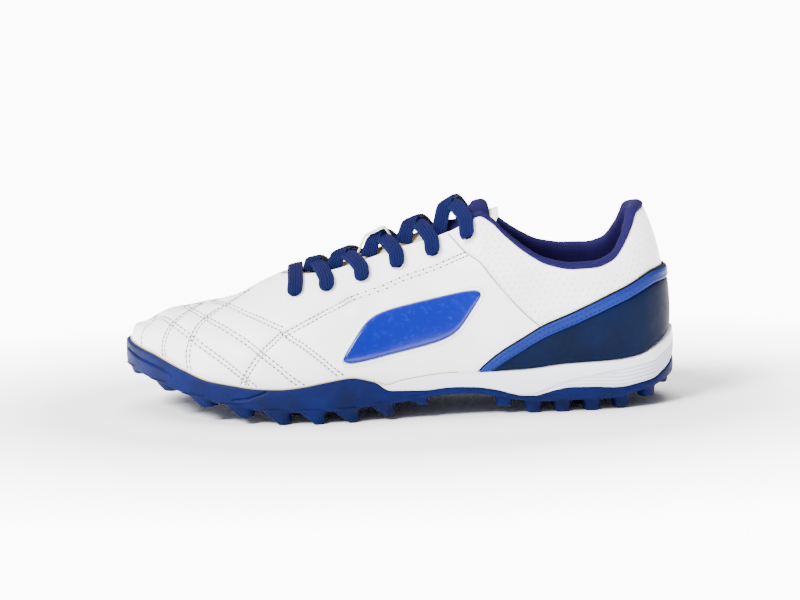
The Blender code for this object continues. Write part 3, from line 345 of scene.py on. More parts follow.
# Cut lines on the side of the rubber: share of the length, and share of the way from the base up to the rim
TOE_GROOVE = ((0.995, 0.72), (0.975, 0.66), (0.950, 0.64), (0.925, 0.66), (0.912, 0.60))
BALL_GROOVE = ((0.742, 0.92), (0.757, 0.74), (0.778, 0.52), (0.800, 0.36))

# Seams of the upper, as share of the length and level on the side, from the sole up. Those over the toe
# go on across the middle line to the other side.
TOE_ARCS = (
    ((0.9740, 0.00), (0.9800, 0.05), (0.9816, 0.33), (0.9801, 0.59), (0.9738, 0.83), (0.9660, 1.00)),
    ((0.9324, 0.00), (0.9340, 0.17), (0.9313, 0.36), (0.9237, 0.56), (0.9068, 0.73), (0.8824, 0.88),
     (0.8600, 1.00)),
    ((0.8851, 0.00), (0.8871, 0.17), (0.8817, 0.35), (0.8700, 0.53), (0.8526, 0.67), (0.8351, 0.76),
     (0.8120, 0.85), (0.7953, 0.92), (0.7700, 1.00)),
)
VAMP_SLANTS = (
    ((0.9718, 0.90), (0.9480, 0.73), (0.9221, 0.57), (0.8756, 0.38), (0.8304, 0.23), (0.7962, 0.12),
     (0.7641, 0.01)),
    ((0.9000, 1.00), (0.8838, 0.86), (0.8496, 0.66), (0.8120, 0.50), (0.7703, 0.34), (0.7506, 0.26),
     (0.7154, 0.14), (0.6749, 0.00)),
    ((0.8450, 1.00), (0.8152, 0.85), (0.7747, 0.63), (0.7406, 0.50), (0.7059, 0.40), (0.6729, 0.32),
     (0.6401, 0.19), (0.6045, 0.02)),
)
EYESTAY_SEAM = (
    (0.7880, 0.00), (0.7738, 0.135), (0.7506, 0.26), (0.7276, 0.336), (0.7059, 0.398), (0.6719, 0.494),
    (0.6381, 0.564), (0.6035, 0.618), (0.5809, 0.649), (0.5194, 0.691), (0.4576, 0.725), (0.4078, 0.730),
    (0.3791, 0.714),
)
QUARTER_SEAM = (
    (0.4078, 0.97), (0.3930, 0.83), (0.3751, 0.703), (0.3369, 0.541), (0.2960, 0.440), (0.2521, 0.324),
)

HEEL_PART = SmoothCurve(columns(OUTLINE, 0, 1), False)
BALL_PART = SmoothCurve(columns(OUTLINE, 0, 2), False)
SWING = SmoothCurve(columns(OUTLINE, 0, 3))
BITE_CURVE = SmoothCurve(BITE)
FLOOR_CURVE = SmoothCurve(FLOOR)
SPLIT_CURVE = SmoothCurve(SPLIT)
BASE_CURVE = SmoothCurve(BASE)
LUG_CURVE = SmoothCurve(LUG_LENGTH)
THROAT_SHARE = SmoothCurve(columns(EDGE_WIDTH, 0, 1))
COLLAR_SHARE = SmoothCurve(columns(EDGE_WIDTH, 0, 2))
BULGE = SmoothCurve(columns(SECTIONS, 0, 1))
LOW_HANDLE = SmoothCurve(columns(SECTIONS, 0, 2))
HIGH_HANDLE = SmoothCurve(columns(SECTIONS, 0, 3))
STAND = SmoothCurve(columns(SECTIONS, 0, 4))
COUNTER_CURVE = SmoothCurve(COUNTER_LINE)
TONGUE_CURVE = SmoothCurve(TONGUE_WIDTH)


@dataclass(frozen=True)
class Last:
    """The form that the shoe is built on: every piece takes its places from these surfaces.

    A place on the upper is an angle round the outline, 0 at the back of the heel and pi at the toe, with the
    inner side above 0, and a level v: 0 where the upper comes out of the sole, 1 at its top edge.
    """

    length: float = 0.285
    ball_width: float = 0.103
    heel_width: float = 0.073
    toe_swing: float = 0.016
    vamp_height: float = 0.0702
    instep_height: float = 0.100
    ankle_height: float = 0.0725
    ankle_inner_rise: float = 0.003
    heel_height: float = 0.101
    heel_lean: float = 0.0115
    toe_lean: float = 0.0037
    throat_half_width: float = 0.0135
    collar_half_width: float = 0.030
    wall: float = 0.002
    sole_height: float = 0.0255
    lug_height: float = 0.006
    lip: float = 0.0025
    gap: float = 0.0003
    ankle_low: float = 0.185
    collar_pad_front: float = 0.372
    throat_front: float = 0.7115
    midsole_nose: float = 0.5235
    padding: float = 0.0055
    step: float = 0.0005

    def top_line(self) -> SmoothCurve:
        """Height of the upper's top edge all the way along, joined from its four stretches."""
        ankle, instep, vamp = self.ankle_height, self.instep_height, self.vamp_height
        rows = [(a, s * vamp) for a, s in VAMP_LINE]
        rows += [(a, vamp + s * (instep - vamp)) for a, s in THROAT_LINE]
        rows += [(a, ankle + s * (instep - ankle)) for a, s in COLLAR_FRONT_LINE]
        rows += [(a, ankle + s * (self.heel_height - ankle)) for a, s in COLLAR_BACK_LINE]
        return SmoothCurve(rows)

    def sole_level(self, curve: SmoothCurve, angle: Array) -> Array:
        """A height of the sole: the lugs' height plus a share of the rest."""
        return self.lug_height + curve.at(angle) * (self.sole_height - self.lug_height)

    def bite(self, angle: Array) -> Array:
        """Height of the sole's top edge."""
        return self.sole_level(BITE_CURVE, angle)

    def floor(self, angle: Array) -> Array:
        """Height of the bed inside the sole."""
        return self.sole_level(FLOOR_CURVE, angle)

    def edge_height(self, angle: Array) -> Array:
        """Height of the upper's top edge, a little more on the inner side of the ankle."""
        bump = ease(1.0 - np.abs(along_at(angle) - self.ankle_low) / self.ankle_low)
        return TOP_LINE.at(angle) + (np.asarray(angle) > 0.0) * bump * self.ankle_inner_rise

    def wrap(self, angle: Array) -> Array:
        """Keep an angle between minus pi and pi."""
        angle = np.asarray(angle, float)
        turned = np.where(angle > math.pi, angle - 2.0 * math.pi, angle)
        return np.where(turned < -math.pi, turned + 2.0 * math.pi, turned)

    def middle(self, angle: Array) -> Array:
        """How far the middle line stands to the inner side."""
        return SWING.at(angle) * self.toe_swing

    def sole_edge(self, angle: Array) -> tuple[Array, Array]:
        """X and Y of the sole's outline: its half width is a share of the heel's plus one of the ball's."""
        turned = self.wrap(angle)
        half = HEEL_PART.at(turned) * self.heel_width + BALL_PART.at(turned) * self.ball_width
        x = self.length / 2.0 - self.length * along_at(turned)
        return x, self.middle(turned) + np.where(turned < 0.0, -1.0, 1.0) * half

    def outline(self, angle: Array, inset: Array) -> tuple[Array, Array]:
        """The sole's outline moved inwards by inset, square to itself."""
        x, y = self.sole_edge(angle)
        x_before, y_before = self.sole_edge(np.asarray(angle) - self.step)
        x_after, y_after = self.sole_edge(np.asarray(angle) + self.step)
        run, rise = x_after - x_before, y_after - y_before
        size = np.hypot(run, rise)
        return x - inset * rise / size, y + inset * run / size

    def foot_half(self, angle: Array) -> Array:
        """Half width of the upper where it comes out of the sole."""
        return np.abs(self.outline(angle, self.lip + self.gap)[1] - self.middle(angle))

    def edge_share(self, angle: Array) -> Array:
        """Half width of the top edge, as a share of the half width at the sole."""
        ankle = float(self.foot_half(angle_at(self.ankle_low)))
        throat = THROAT_SHARE.at(angle) * self.throat_half_width / np.maximum(self.foot_half(angle), 1e-4)
        return COLLAR_SHARE.at(angle) * self.collar_half_width / ankle + throat

    def dome_share(self, angle: Array, t: Array) -> Array:
        """Half width of a full dome over the foot: 1 at the sole, 0 on the middle line."""
        return blend(1.0, 1.0 + BULGE.at(angle), HIGH_HANDLE.at(angle), 0.0, t)

    @functools.cached_property
    def dome_table(self) -> tuple[Array, Array]:
        """The dome's cut at many angles, found by halving at each."""
        angle = np.linspace(-math.pi, math.pi, 6001)
        edge = self.edge_share(angle)
        low, high = np.full_like(edge, 0.4), np.ones_like(edge)
        cut = halved(low, high, 40, lambda t: self.dome_share(angle, t) > edge)
        return angle, np.where(edge <= 0.0, 1.0, cut)

    def dome_cut(self, angle: Array) -> Array:
        """Where along the dome the throat's edge lies, read from its table."""
        turned = (np.asarray(angle, float) + math.pi) % (2.0 * math.pi) - math.pi
        return np.interp(turned, *self.dome_table)

    def dome_weight(self, angle: Array) -> Array:
        """1 where the section is a dome cut by the throat, 0 where it stands open round the ankle."""
        return ease((along_at(angle) - 0.34) / 0.12)

    def height(self, angle: Array, v: Array) -> Array:
        """Height of the outer surface: a cubic from the bite to the edge, or a straight wall under it."""
        angle = np.asarray(angle, float)
        v = np.asarray(v, float)
        bite, top = self.bite(angle), self.edge_height(angle)
        rise = top - bite
        low = LOW_HANDLE.at(angle)
        high = top - HIGH_HANDLE.at(angle) * STAND.at(angle) * rise
        up = np.maximum(v, 0.0)
        standing = blend(bite, bite + low * rise, high, top, up)
        end = self.dome_cut(angle)
        domed = bite + rise * blend(0.0, low, 1.0, 1.0, up * end) / blend(0.0, low, 1.0, 1.0, end)
        above = standing + self.dome_weight(angle) * (domed - standing)
        return np.where(v < 0.0, bite + v * (bite - self.floor(angle) - self.gap), above)

    def share(self, angle: Array, v: Array) -> Array:
        """Half width of the outer surface, as a share of its half width at the sole."""
        angle = np.asarray(angle, float)
        up = np.maximum(np.asarray(v, float), 0.0)
        edge = self.edge_share(angle)
        high = edge + HIGH_HANDLE.at(angle) * (1.0 - edge) * (1.0 - STAND.at(angle))
        standing = blend(1.0, 1.0 + BULGE.at(angle), high, edge, up)
        domed = self.dome_share(angle, up * self.dome_cut(angle))
        return standing + self.dome_weight(angle) * (domed - standing)

    def set_back(self, angle: Array, z: Array) -> Array:
        """How far the heel's back and the toe's front lean to the middle, by a power of the height."""
        along = along_at(angle)
        heel_foot, toe_foot = float(self.bite(0.0)), float(self.bite(math.pi))
        heel = np.maximum(0.0, (z - heel_foot) / (self.heel_height - heel_foot))
        toe = np.clip((z - toe_foot) / (float(self.edge_height(math.pi)) - toe_foot), 0.0, 1.5)
        heel_fade = ease(1.0 - along / 0.35)
        toe_fade = ease(1.0 - (1.0 - along) / 0.15)
        return self.toe_lean * toe ** 1.6 * toe_fade - self.heel_lean * heel ** 2.6 * heel_fade

    def skin(self, angle: Array, v: Array) -> Array:
        """Points of the upper's outer surface, in the last axis."""
        turned = self.wrap(angle)
        inset = self.lip + self.gap
        x, y = self.outline(turned, inset)
        between = (x + self.outline(-turned, inset)[0]) / 2.0
        z = self.height(turned, v)
        centre = self.middle(turned)
        share = self.share(turned, v)
        return np.stack(np.broadcast_arrays(
            between + (x - between) * share + self.set_back(turned, z),
            centre + (y - centre) * share,
            z,
        ), axis=-1)

    def up(self, angle: Array, v: Array) -> Array:
        """Direction up the surface, across the shoe."""
        v = np.asarray(v, float)
        low = np.where(v >= 0.0, np.maximum(v - self.step, 0.0), np.maximum(v - self.step, -1.0))
        high = np.where(v < 0.0, v, np.minimum(v + self.step, 1.0))
        return unit(self.skin(angle, high) - self.skin(angle, low))

    def normal(self, angle: Array, v: Array) -> Array:
        """Direction straight out of the surface: across its two ways."""
        angle = np.asarray(angle, float)
        round_way = self.skin(angle + self.step, v) - self.skin(angle - self.step, v)
        return unit(np.cross(round_way, self.up(angle, v)))

    def lifted(self, angle: Array, v: Array, lift: Array) -> Array:
        """Points at a height above the surface, or under it where lift is less than 0."""
        return self.skin(angle, v) + self.normal(angle, v) * np.asarray(lift)[..., None]

    def row_at_height(self, angle: Array, z: Array) -> Array:
        """The level v at which the surface reaches a height, found by halving."""
        angle, z = np.broadcast_arrays(np.asarray(angle, float), np.asarray(z, float))
        return halved(np.zeros(z.shape), np.ones(z.shape), 26, lambda v: self.height(angle, v) < z)

    def row_at_share(self, angle: Array, share: Array) -> Array:
        """The level v on the upper half of a section at which its half width falls to a share."""
        angle, share = np.broadcast_arrays(np.asarray(angle, float), np.asarray(share, float))
        low, high = np.full(share.shape, 0.35), np.ones(share.shape)
        return halved(low, high, 26, lambda v: self.share(angle, v) > share)

    def row_below_edge(self, angle: Array, distance: Array) -> Array:
        """The level v that lies a distance down the surface from the top edge, by adding up its length."""
        angle = np.atleast_1d(np.asarray(angle, float))
        distance = np.broadcast_to(np.asarray(distance, float), angle.shape)
        levels = np.linspace(1.0, 0.0, 91)
        points = self.skin(angle[None, :], levels[:, None])
        steps = np.linalg.norm(np.diff(points, axis=0), axis=-1)
        gone = np.vstack([np.zeros(len(angle)), np.cumsum(steps, axis=0)])
        after = np.clip((gone < distance).sum(axis=0), 1, len(levels) - 1)
        across = np.arange(len(angle))
        start, end = gone[after - 1, across], gone[after, across]
        part = np.clip((distance - start) / np.maximum(end - start, 1e-9), 0.0, 1.0)
        return levels[after - 1] + part * (levels[after] - levels[after - 1])

    def over_throat(self, angle: Array, half: Array, drop: Array) -> Array:
        """Height at a half width over the throat.

        Outside the throat's edge it is the surface. Inside it is an arch, a parabola that leaves the edge
        with the surface's own slope. It is lowered by drop, measured square to the surface.
        """
        angle, half = np.broadcast_arrays(np.asarray(angle, float), np.asarray(half, float))
        foot = self.foot_half(angle)
        edge = self.edge_share(angle) * foot
        v = np.where(half >= edge, self.row_at_share(angle, half / foot), 1.0)
        way = self.up(angle, np.ones(angle.shape))
        slope = way[..., 2] / np.maximum(np.abs(way[..., 1]), 0.05)
        arch = edge * slope / 2.0 * (1.0 - (half / np.maximum(edge, 1e-4)) ** 2)
        tilt = np.maximum(self.normal(angle, v)[..., 2], 0.25)
        return self.height(angle, v) + np.where(half >= edge, 0.0, arch) - drop / tilt

    def pad(self, angle: Array) -> Array:
        """Thickness of the collar's padding, less towards its front ends."""
        return self.padding * (0.5 + 0.5 * ease((self.collar_pad_front - along_at(angle)) / 0.07))

    def tongue_top(self, angle: Array, half: Array) -> Array:
        """Height of the tongue's outer face, under the throat's arch."""
        beside = ease((0.45 - along_at(angle)) / 0.07)
        least = float(self.pad(angle_at(self.collar_pad_front)))
        depth = self.wall + 2.0 * self.gap + beside * (least + 4.0 * self.gap)
        return self.over_throat(-np.abs(angle), half, depth)

    def eyelet(self, row: int, side: Side) -> tuple[Array, Array]:
        """Place and outward direction of an eyelet: a set way below the throat's edge."""
        angle = side.value * angle_at(np.array([EYELETS[row]]))
        v = self.row_below_edge(angle, EYELET_INSETS[row])
        return self.skin(angle, v)[0], self.normal(angle, v)[0]


LAST = Last()
TOP_LINE = LAST.top_line()


def grid_faces(rows: int, across: int, close_rows: bool, close_across: bool) -> Array:
    """Quads between the points of a grid, row by row, wrapping round where a way is closed."""
    j = np.arange(rows if close_rows else rows - 1)[:, None]
    i = np.arange(across if close_across else across - 1)[None, :]
    above, beside = (j + 1) % rows, (i + 1) % across
    corners = (j * across + i, j * across + beside, above * across + beside, above * across + i)
    return np.stack([np.broadcast_to(c, (j.size, i.size)) for c in corners], axis=-1).reshape(-1, 4)


def build_piece(name: str, points: Array, faces: Array, uv: Optional[Array] = None, merge: float = 1e-5,
                sharp: float = 50.0) -> Piece:
    """Make a piece from points and quads, weld what coincides, and turn its faces out.

    Args:
        name: the piece's name.
        points: one row a point, in metres.
        faces: one row a quad, as point numbers.
        uv: one row a face corner, in millimetres along the surface, or None.
        merge: the distance within which points become one.
        sharp: edges past this angle, in degrees, stay sharp.

    Returns:
        The new object, at the origin.
    """
    mesh = bpy.data.meshes.new(name)
    mesh.vertices.add(len(points))
    mesh.vertices.foreach_set("co", np.ascontiguousarray(points, np.float32).ravel())
    mesh.loops.add(faces.size)
    mesh.loops.foreach_set("vertex_index", np.ascontiguousarray(faces, np.int32).ravel())
    mesh.polygons.add(len(faces))
    mesh.polygons.foreach_set("loop_start", np.arange(0, faces.size, 4, dtype=np.int32))
    mesh.update(calc_edges=True)
    if uv is not None:
        layer = mesh.uv_layers.new(name="mm")
        layer.data.foreach_set("uv", np.ascontiguousarray(uv, np.float32).ravel())
    work = bmesh.new()
    work.from_mesh(mesh)
    bmesh.ops.remove_doubles(work, verts=work.verts, dist=merge)
    bmesh.ops.dissolve_degenerate(work, edges=work.edges, dist=1e-7)
    bmesh.ops.recalc_face_normals(work, faces=work.faces)
    work.to_mesh(mesh)
    work.free()
    mesh.shade_smooth()
    mesh.set_sharp_from_angle(angle=math.radians(sharp))
    piece = bpy.data.objects.new(name, mesh)
    bpy.context.scene.collection.objects.link(piece)
    return piece


def grid_piece(name: str, points: Array, close_rows: bool = False, close_across: bool = False,
               uv: Optional[Array] = None, sharp: float = 50.0) -> Piece:
    """Make a piece from a grid of shape rows, across, 3. uv has one more place in a closed way."""
    rows, across = points.shape[:2]
    faces = grid_faces(rows, across, close_rows, close_across)
    corners = None
    if uv is not None:
        wide = uv.shape[1]
        j = np.arange(rows if close_rows else rows - 1)[:, None]
        i = np.arange(across if close_across else across - 1)[None, :]
        order = (j * wide + i, j * wide + i + 1, (j + 1) * wide + i + 1, (j + 1) * wide + i)
        picked = np.stack([np.broadcast_to(c, (j.size, i.size)) for c in order], axis=-1).reshape(-1)
        corners = uv.reshape(-1, 2)[picked]
    return build_piece(name, points.reshape(-1, 3), faces, corners, sharp=sharp)


def tube_piece(name: str, sections: Array, uv: Optional[Array] = None, sharp: float = 50.0) -> Piece:
    """Make a closed piece from closed sections in a row, its two ends drawn together in their middles."""
    middles = sections[[0, -1]].mean(axis=1, keepdims=True)
    ends = np.broadcast_to(middles, (2, sections.shape[1], 3))
    points = np.concatenate([ends[:1], sections, ends[1:]])
    if uv is not None:
        uv = np.concatenate([uv[:1], uv, uv[-1:]])
    return grid_piece(name, points, close_across=True, uv=uv, sharp=sharp)


def strip_uv(sections: Array) -> Array:
    """UV of a tube in millimetres: along it by its middle's way, round it by each section's way."""
    middles = sections.mean(axis=1)
    along = gone_along(middles)
    closed = np.concatenate([sections, sections[:, :1]], axis=1)
    steps = np.linalg.norm(np.diff(closed, axis=1), axis=-1)
    round_way = np.concatenate([np.zeros((len(sections), 1)), np.cumsum(steps, axis=1)], axis=1)
    return np.stack(np.broadcast_arrays(along[:, None], round_way), axis=-1) * 1000.0


def strip_piece(name: str, sections: Array) -> Piece:
    """A closed piece from closed sections, with its UV in millimetres."""
    return tube_piece(name, sections, strip_uv(sections))


def smooth_path(points: Array, count: int, closed: bool = False) -> Array:
    """A Catmull-Rom curve through points, its samples evenly spread over the stretches between them.

    Args:
        points: one place a row, of any shape behind that.
        count: how many samples to give back.
        closed: whether the last point leads back to the first.

    Returns:
        The samples, one a row.
    """
    last = len(points) if closed else len(points) - 1
    t = np.linspace(0.0, last, count, endpoint=not closed)
    i = np.minimum(t.astype(int), last - 1)
    u = (t - i).reshape((-1,) + (1,) * (points.ndim - 1))
    if closed:
        before, start, end, after = (points[(i + k) % len(points)] for k in (-1, 0, 1, 2))
    else:
        wide = np.concatenate([[2 * points[0] - points[1]], points, [2 * points[-1] - points[-2]]])
        before, start, end, after = (wide[i + k] for k in (0, 1, 2, 3))
    return 0.5 * (2 * start + (end - before) * u + (2 * before - 5 * start + 4 * end - after) * u ** 2
                  + (3 * start - before - 3 * end + after) * u ** 3)


def even_path(points: Array, pitch: float) -> tuple[Array, Array]:
    """Places one pitch apart along a line of points, and the share of the line at which each lies."""
    gone = gone_along(points)
    marks = np.arange(pitch / 2.0, gone[-1], pitch)
    places = np.stack([np.interp(marks, gone, points[:, k]) for k in range(3)], axis=-1)
    return places, marks / gone[-1]


def round_sections(path: Array, ups: Array, radius: float) -> Array:
    """Round sections, 10 places each, along a path that lies on a surface with given outward directions."""
    ways = unit(np.gradient(path, axis=0))
    sides = unit(np.cross(ups, ways))
    turn = full_turn(10)[None, :, None]
    return path[:, None] + radius * (np.cos(turn) * sides[:, None] + np.sin(turn) * ups[:, None])


def line_distance(points: Array, line: Array) -> Array:
    """Distance of each point to a line of short stretches, the least over all the stretches."""
    flat = points.reshape(-1, 3)
    best = np.full(len(flat), 1.0)
    low, high = line.min(axis=0) - 0.012, line.max(axis=0) + 0.012
    near = np.flatnonzero(((flat > low) & (flat < high)).all(axis=1))
    found = np.full(len(near), 1.0)
    for start, end in zip(line[:-1], line[1:]):
        way = end - start
        t = np.clip((flat[near] - start) @ way / max(way @ way, 1e-12), 0.0, 1.0)
        gap = flat[near] - start - t[:, None] * way
        found = np.minimum(found, np.sqrt((gap ** 2).sum(axis=1)))
    best[near] = found
    return best.reshape(points.shape[:-1])


def many_grids(name: str, grids: Array, merge: float = 1e-5) -> Piece:
    """One piece of many grids of the same size, of shape grids, rows, across, 3, each closed across."""
    count, rows, across = grids.shape[:3]
    faces = grid_faces(rows, across, False, True)
    offsets = (np.arange(count) * rows * across)[:, None, None]
    return build_piece(name, grids.reshape(-1, 3), (faces[None] + offsets).reshape(-1, 4), merge=merge)


def beads(name: str, centres: Array, ways: Array, ups: Array, half: Sequence[float]) -> Piece:
    """Many small rounded grains in one piece, such as stitches: each an ellipsoid of 5 rings of 8.

    Args:
        name: the piece's name.
        centres: the middle of each grain.
        ways: the direction each one lies along.
        ups: the direction out of the surface at each.
        half: half the length, half the width and half the height.

    Returns:
        The piece.
    """
    polar = np.linspace(0.0, math.pi, 6)
    turn = full_turn(8)
    long = np.cos(polar)[:, None] * np.ones(8) * half[0]
    wide = np.sin(polar)[:, None] * np.cos(turn) * half[1]
    tall = np.sin(polar)[:, None] * np.sin(turn) * half[2]
    ways = unit(ways)
    sides = unit(np.cross(ups, ways))
    tops = np.cross(ways, sides)
    parts = ((ways, long), (sides, wide), (tops, tall))
    shape = [way[:, None, None, :] * size[None, :, :, None] for way, size in parts]
    points = centres[:, None, None, :] + sum(shape)
    return many_grids(name, points, 1e-7)


def put(piece: Piece, slot: str, material: Material, *nodes: str) -> Piece:
    """Dress a piece, tie it to the shoe and hide the CAD solids that it stands for."""
    piece.data.materials.clear()
    piece.data.materials.append(material)
    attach(piece, "root")
    if nodes:
        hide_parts(*nodes)
    LOG.info("%s: %d faces", piece.name, len(piece.data.polygons))
    return piece


def add_node(tree: Tree, kind: str, settings: dict, inputs: dict) -> bpy.types.Node:
    """Add a node with its settings, and give each input a value or link it to another node's output.

    Args:
        tree: the node tree.
        kind: the node's type name.
        settings: properties of the node by name.
        inputs: sockets by name or number, each with a value or an output socket.

    Returns:
        The node.
    """
    node = tree.nodes.new(kind)
    for key, value in settings.items():
        setattr(node, key, value)
    for key, value in inputs.items():
        if isinstance(value, Socket):
            tree.links.new(value, node.inputs[key])
        else:
            node.inputs[key].default_value = value
    return node


def blank_material(name: str) -> tuple[Material, Tree, bpy.types.Node]:
    """A new material, its tree and its empty shader."""
    material = bpy.data.materials.new(name)
    material.use_nodes = True
    tree = material.node_tree
    return material, tree, tree.nodes["Principled BSDF"]


def math_node(tree: Tree, operation: str, first: object, second: object = 0.0) -> Socket:
    """The output of one sum on two values or outputs."""
    return add_node(tree, "ShaderNodeMath", {"operation": operation}, {0: first, 1: second}).outputs[0]


def mix_colours(tree: Tree, share: object, low: object, high: object) -> Socket:
    """The output of a colour mix: low where share is 0, high where it is 1."""
    node = add_node(tree, "ShaderNodeMix", {"data_type": "RGBA"}, {0: share, 6: low, 7: high})
    return node.outputs[2]


def shape_range(tree: Tree, value: Socket, low: float, high: float) -> Socket:
    """Bring a value from between low and high to between 0 and 1."""
    inputs = {"Value": value, "From Min": low, "From Max": high}
    return add_node(tree, "ShaderNodeMapRange", {}, inputs).outputs[0]


def finish(tree: Tree, colour: Socket, height: Socket, strength: float, depth: float) -> None:
    """Give the shader its colour and a bump of a height field, whose depth is in metres."""
    shader = tree.nodes["Principled BSDF"]
    bump = add_node(tree, "ShaderNodeBump", {}, {"Height": height, "Strength": strength, "Distance": depth})
    tree.links.new(bump.outputs["Normal"], shader.inputs["Normal"])
    tree.links.new(colour, shader.inputs["Base Color"])


@dataclass(frozen=True)
class CoatedLeather:
    """Soft polyurethane leather: a fine pebble grain, faint mottling, a soft sheen."""

    name: str = "coated leather white"
    colour: str = "#f4f4f3"
    shade: str = "#eaeae9"
    grain_mm: float = 0.9
    mottle_mm: float = 26.0
    roughness: float = 0.46
    bump_mm: float = 0.05
    gloss: float = 0.5
    pinhole_mm: float = 0.0

    def build(self) -> Material:
        """Make the material: noise for the mottling, cells for the grain, dots where pinholes are asked for.

        Returns:
            The material. Pinholes read the piece's UV in millimetres and its attribute named pinholes.
        """
        material, tree, shader = blank_material(self.name)
        place = add_node(tree, "ShaderNodeTexCoord", {}, {}).outputs["Object"]
        mottle = add_node(tree, "ShaderNodeTexNoise", {}, {
            "Vector": place, "Scale": 1000.0 / self.mottle_mm, "Detail": 3.0,
        }).outputs["Fac"]
        share = shape_range(tree, mottle, 0.38, 0.66)
        colour = mix_colours(tree, share, linear(self.shade), linear(self.colour))
        cells = add_node(tree, "ShaderNodeTexVoronoi", {"feature": "F1"}, {
            "Vector": place, "Scale": 1000.0 / self.grain_mm, "Randomness": 0.9,
        }).outputs["Distance"]
        soft = add_node(tree, "ShaderNodeTexNoise", {}, {
            "Vector": place, "Scale": 220.0, "Detail": 4.0,
        }).outputs["Fac"]
        height = math_node(tree, "MULTIPLY_ADD", cells, 0.6)
        tree.links.new(soft, height.node.inputs[2])
        if self.pinhole_mm > 0.0:
            dots = self.pinholes(tree)
            colour = mix_colours(tree, math_node(tree, "MULTIPLY", dots, 0.40), colour, linear("#6f6f72"))
            height = math_node(tree, "SUBTRACT", height, math_node(tree, "MULTIPLY", dots, 3.0))
        finish(tree, colour, height, 0.55, self.bump_mm / 1000.0 * 2.0)
        rough = math_node(tree, "MULTIPLY_ADD", soft, 0.16)
        rough.node.inputs[2].default_value = self.roughness - 0.08
        tree.links.new(rough, shader.inputs["Roughness"])
        shader.inputs["Specular IOR Level"].default_value = self.gloss
        shader.inputs["Coat Weight"].default_value = 0.10 * self.gloss
        shader.inputs["Coat Roughness"].default_value = 0.35
        return material

    def pinholes(self, tree: Tree) -> Socket:
        """Round dots in staggered rows: the distance to the nearest middle of a brick of one pitch."""
        place = add_node(tree, "ShaderNodeUVMap", {"uv_map": "mm"}, {}).outputs["UV"]
        parts = add_node(tree, "ShaderNodeSeparateXYZ", {}, {"Vector": place})
        across = math_node(tree, "DIVIDE", parts.outputs["Y"], self.pinhole_mm * 0.8)
        row = math_node(tree, "FLOOR", across)
        odd = math_node(tree, "MULTIPLY", math_node(tree, "MODULO", row, 2.0), 0.5)
        along = math_node(tree, "ADD", math_node(tree, "DIVIDE", parts.outputs["X"], self.pinhole_mm), odd)
        dx = math_node(tree, "SUBTRACT", math_node(tree, "FRACT", along), 0.5)
        past = math_node(tree, "SUBTRACT", math_node(tree, "FRACT", across), 0.5)
        dy = math_node(tree, "MULTIPLY", past, 0.8)
        flat = add_node(tree, "ShaderNodeCombineXYZ", {}, {"X": dx, "Y": dy}).outputs["Vector"]
        reach = add_node(tree, "ShaderNodeVectorMath", {"operation": "LENGTH"}, {0: flat}).outputs["Value"]
        dot = shape_range(tree, reach, 0.17, 0.07)
        where = add_node(tree, "ShaderNodeAttribute", {"attribute_name": "pinholes"}, {}).outputs["Fac"]
        return math_node(tree, "MULTIPLY", dot, where)


@dataclass(frozen=True)
class MouldedRubber:
    """Blue moulded rubber: a fine even texture from the mould, darker in soft patches, a dull sheen."""

    name: str = "moulded rubber blue"
    colour: str = "#030e44"
    shade: str = "#020a32"
    speck_mm: float = 1.1
    roughness: float = 0.58

    def build(self) -> Material:
        """Make the material from two noises, one for the colour and one for the mould's texture."""
        material, tree, shader = blank_material(self.name)
        place = add_node(tree, "ShaderNodeTexCoord", {}, {}).outputs["Object"]
        broad = add_node(tree, "ShaderNodeTexNoise", {}, {"Vector": place, "Scale": 55.0, "Detail": 3.0})
        fine = add_node(tree, "ShaderNodeTexNoise", {}, {
            "Vector": place, "Scale": 1000.0 / self.speck_mm, "Detail": 2.0,
        }).outputs["Fac"]
        share = shape_range(tree, broad.outputs["Fac"], 0.35, 0.65)
        colour = mix_colours(tree, share, linear(self.shade), linear(self.colour))
        rough = math_node(tree, "MULTIPLY_ADD", fine, 0.14)
        rough.node.inputs[2].default_value = self.roughness - 0.07
        tree.links.new(rough, shader.inputs["Roughness"])
        shader.inputs["Specular IOR Level"].default_value = 0.1
        finish(tree, colour, fine, 0.35, 0.00012)
        return material


@dataclass(frozen=True)
class PressedFoam:
    """White ethylene foam, pressed in a mould: a closed skin with fine cells, matt and a little cool."""

    name: str = "pressed foam white"
    colour: str = "#e9eaf2"
    shade: str = "#d9dbe6"
    cell_mm: float = 0.8

    def build(self) -> Material:
        """Make the material: cells for the bump and a broad noise for the colour."""
        material, tree, shader = blank_material(self.name)
        place = add_node(tree, "ShaderNodeTexCoord", {}, {}).outputs["Object"]
        broad = add_node(tree, "ShaderNodeTexNoise", {}, {"Vector": place, "Scale": 40.0, "Detail": 2.0})
        cells = add_node(tree, "ShaderNodeTexVoronoi", {}, {
            "Vector": place, "Scale": 1000.0 / self.cell_mm,
        }).outputs["Distance"]
        colour = mix_colours(tree, broad.outputs["Fac"], linear(self.shade), linear(self.colour))
        shader.inputs["Roughness"].default_value = 0.5
        finish(tree, colour, cells, 0.25, 0.0001)
        return material


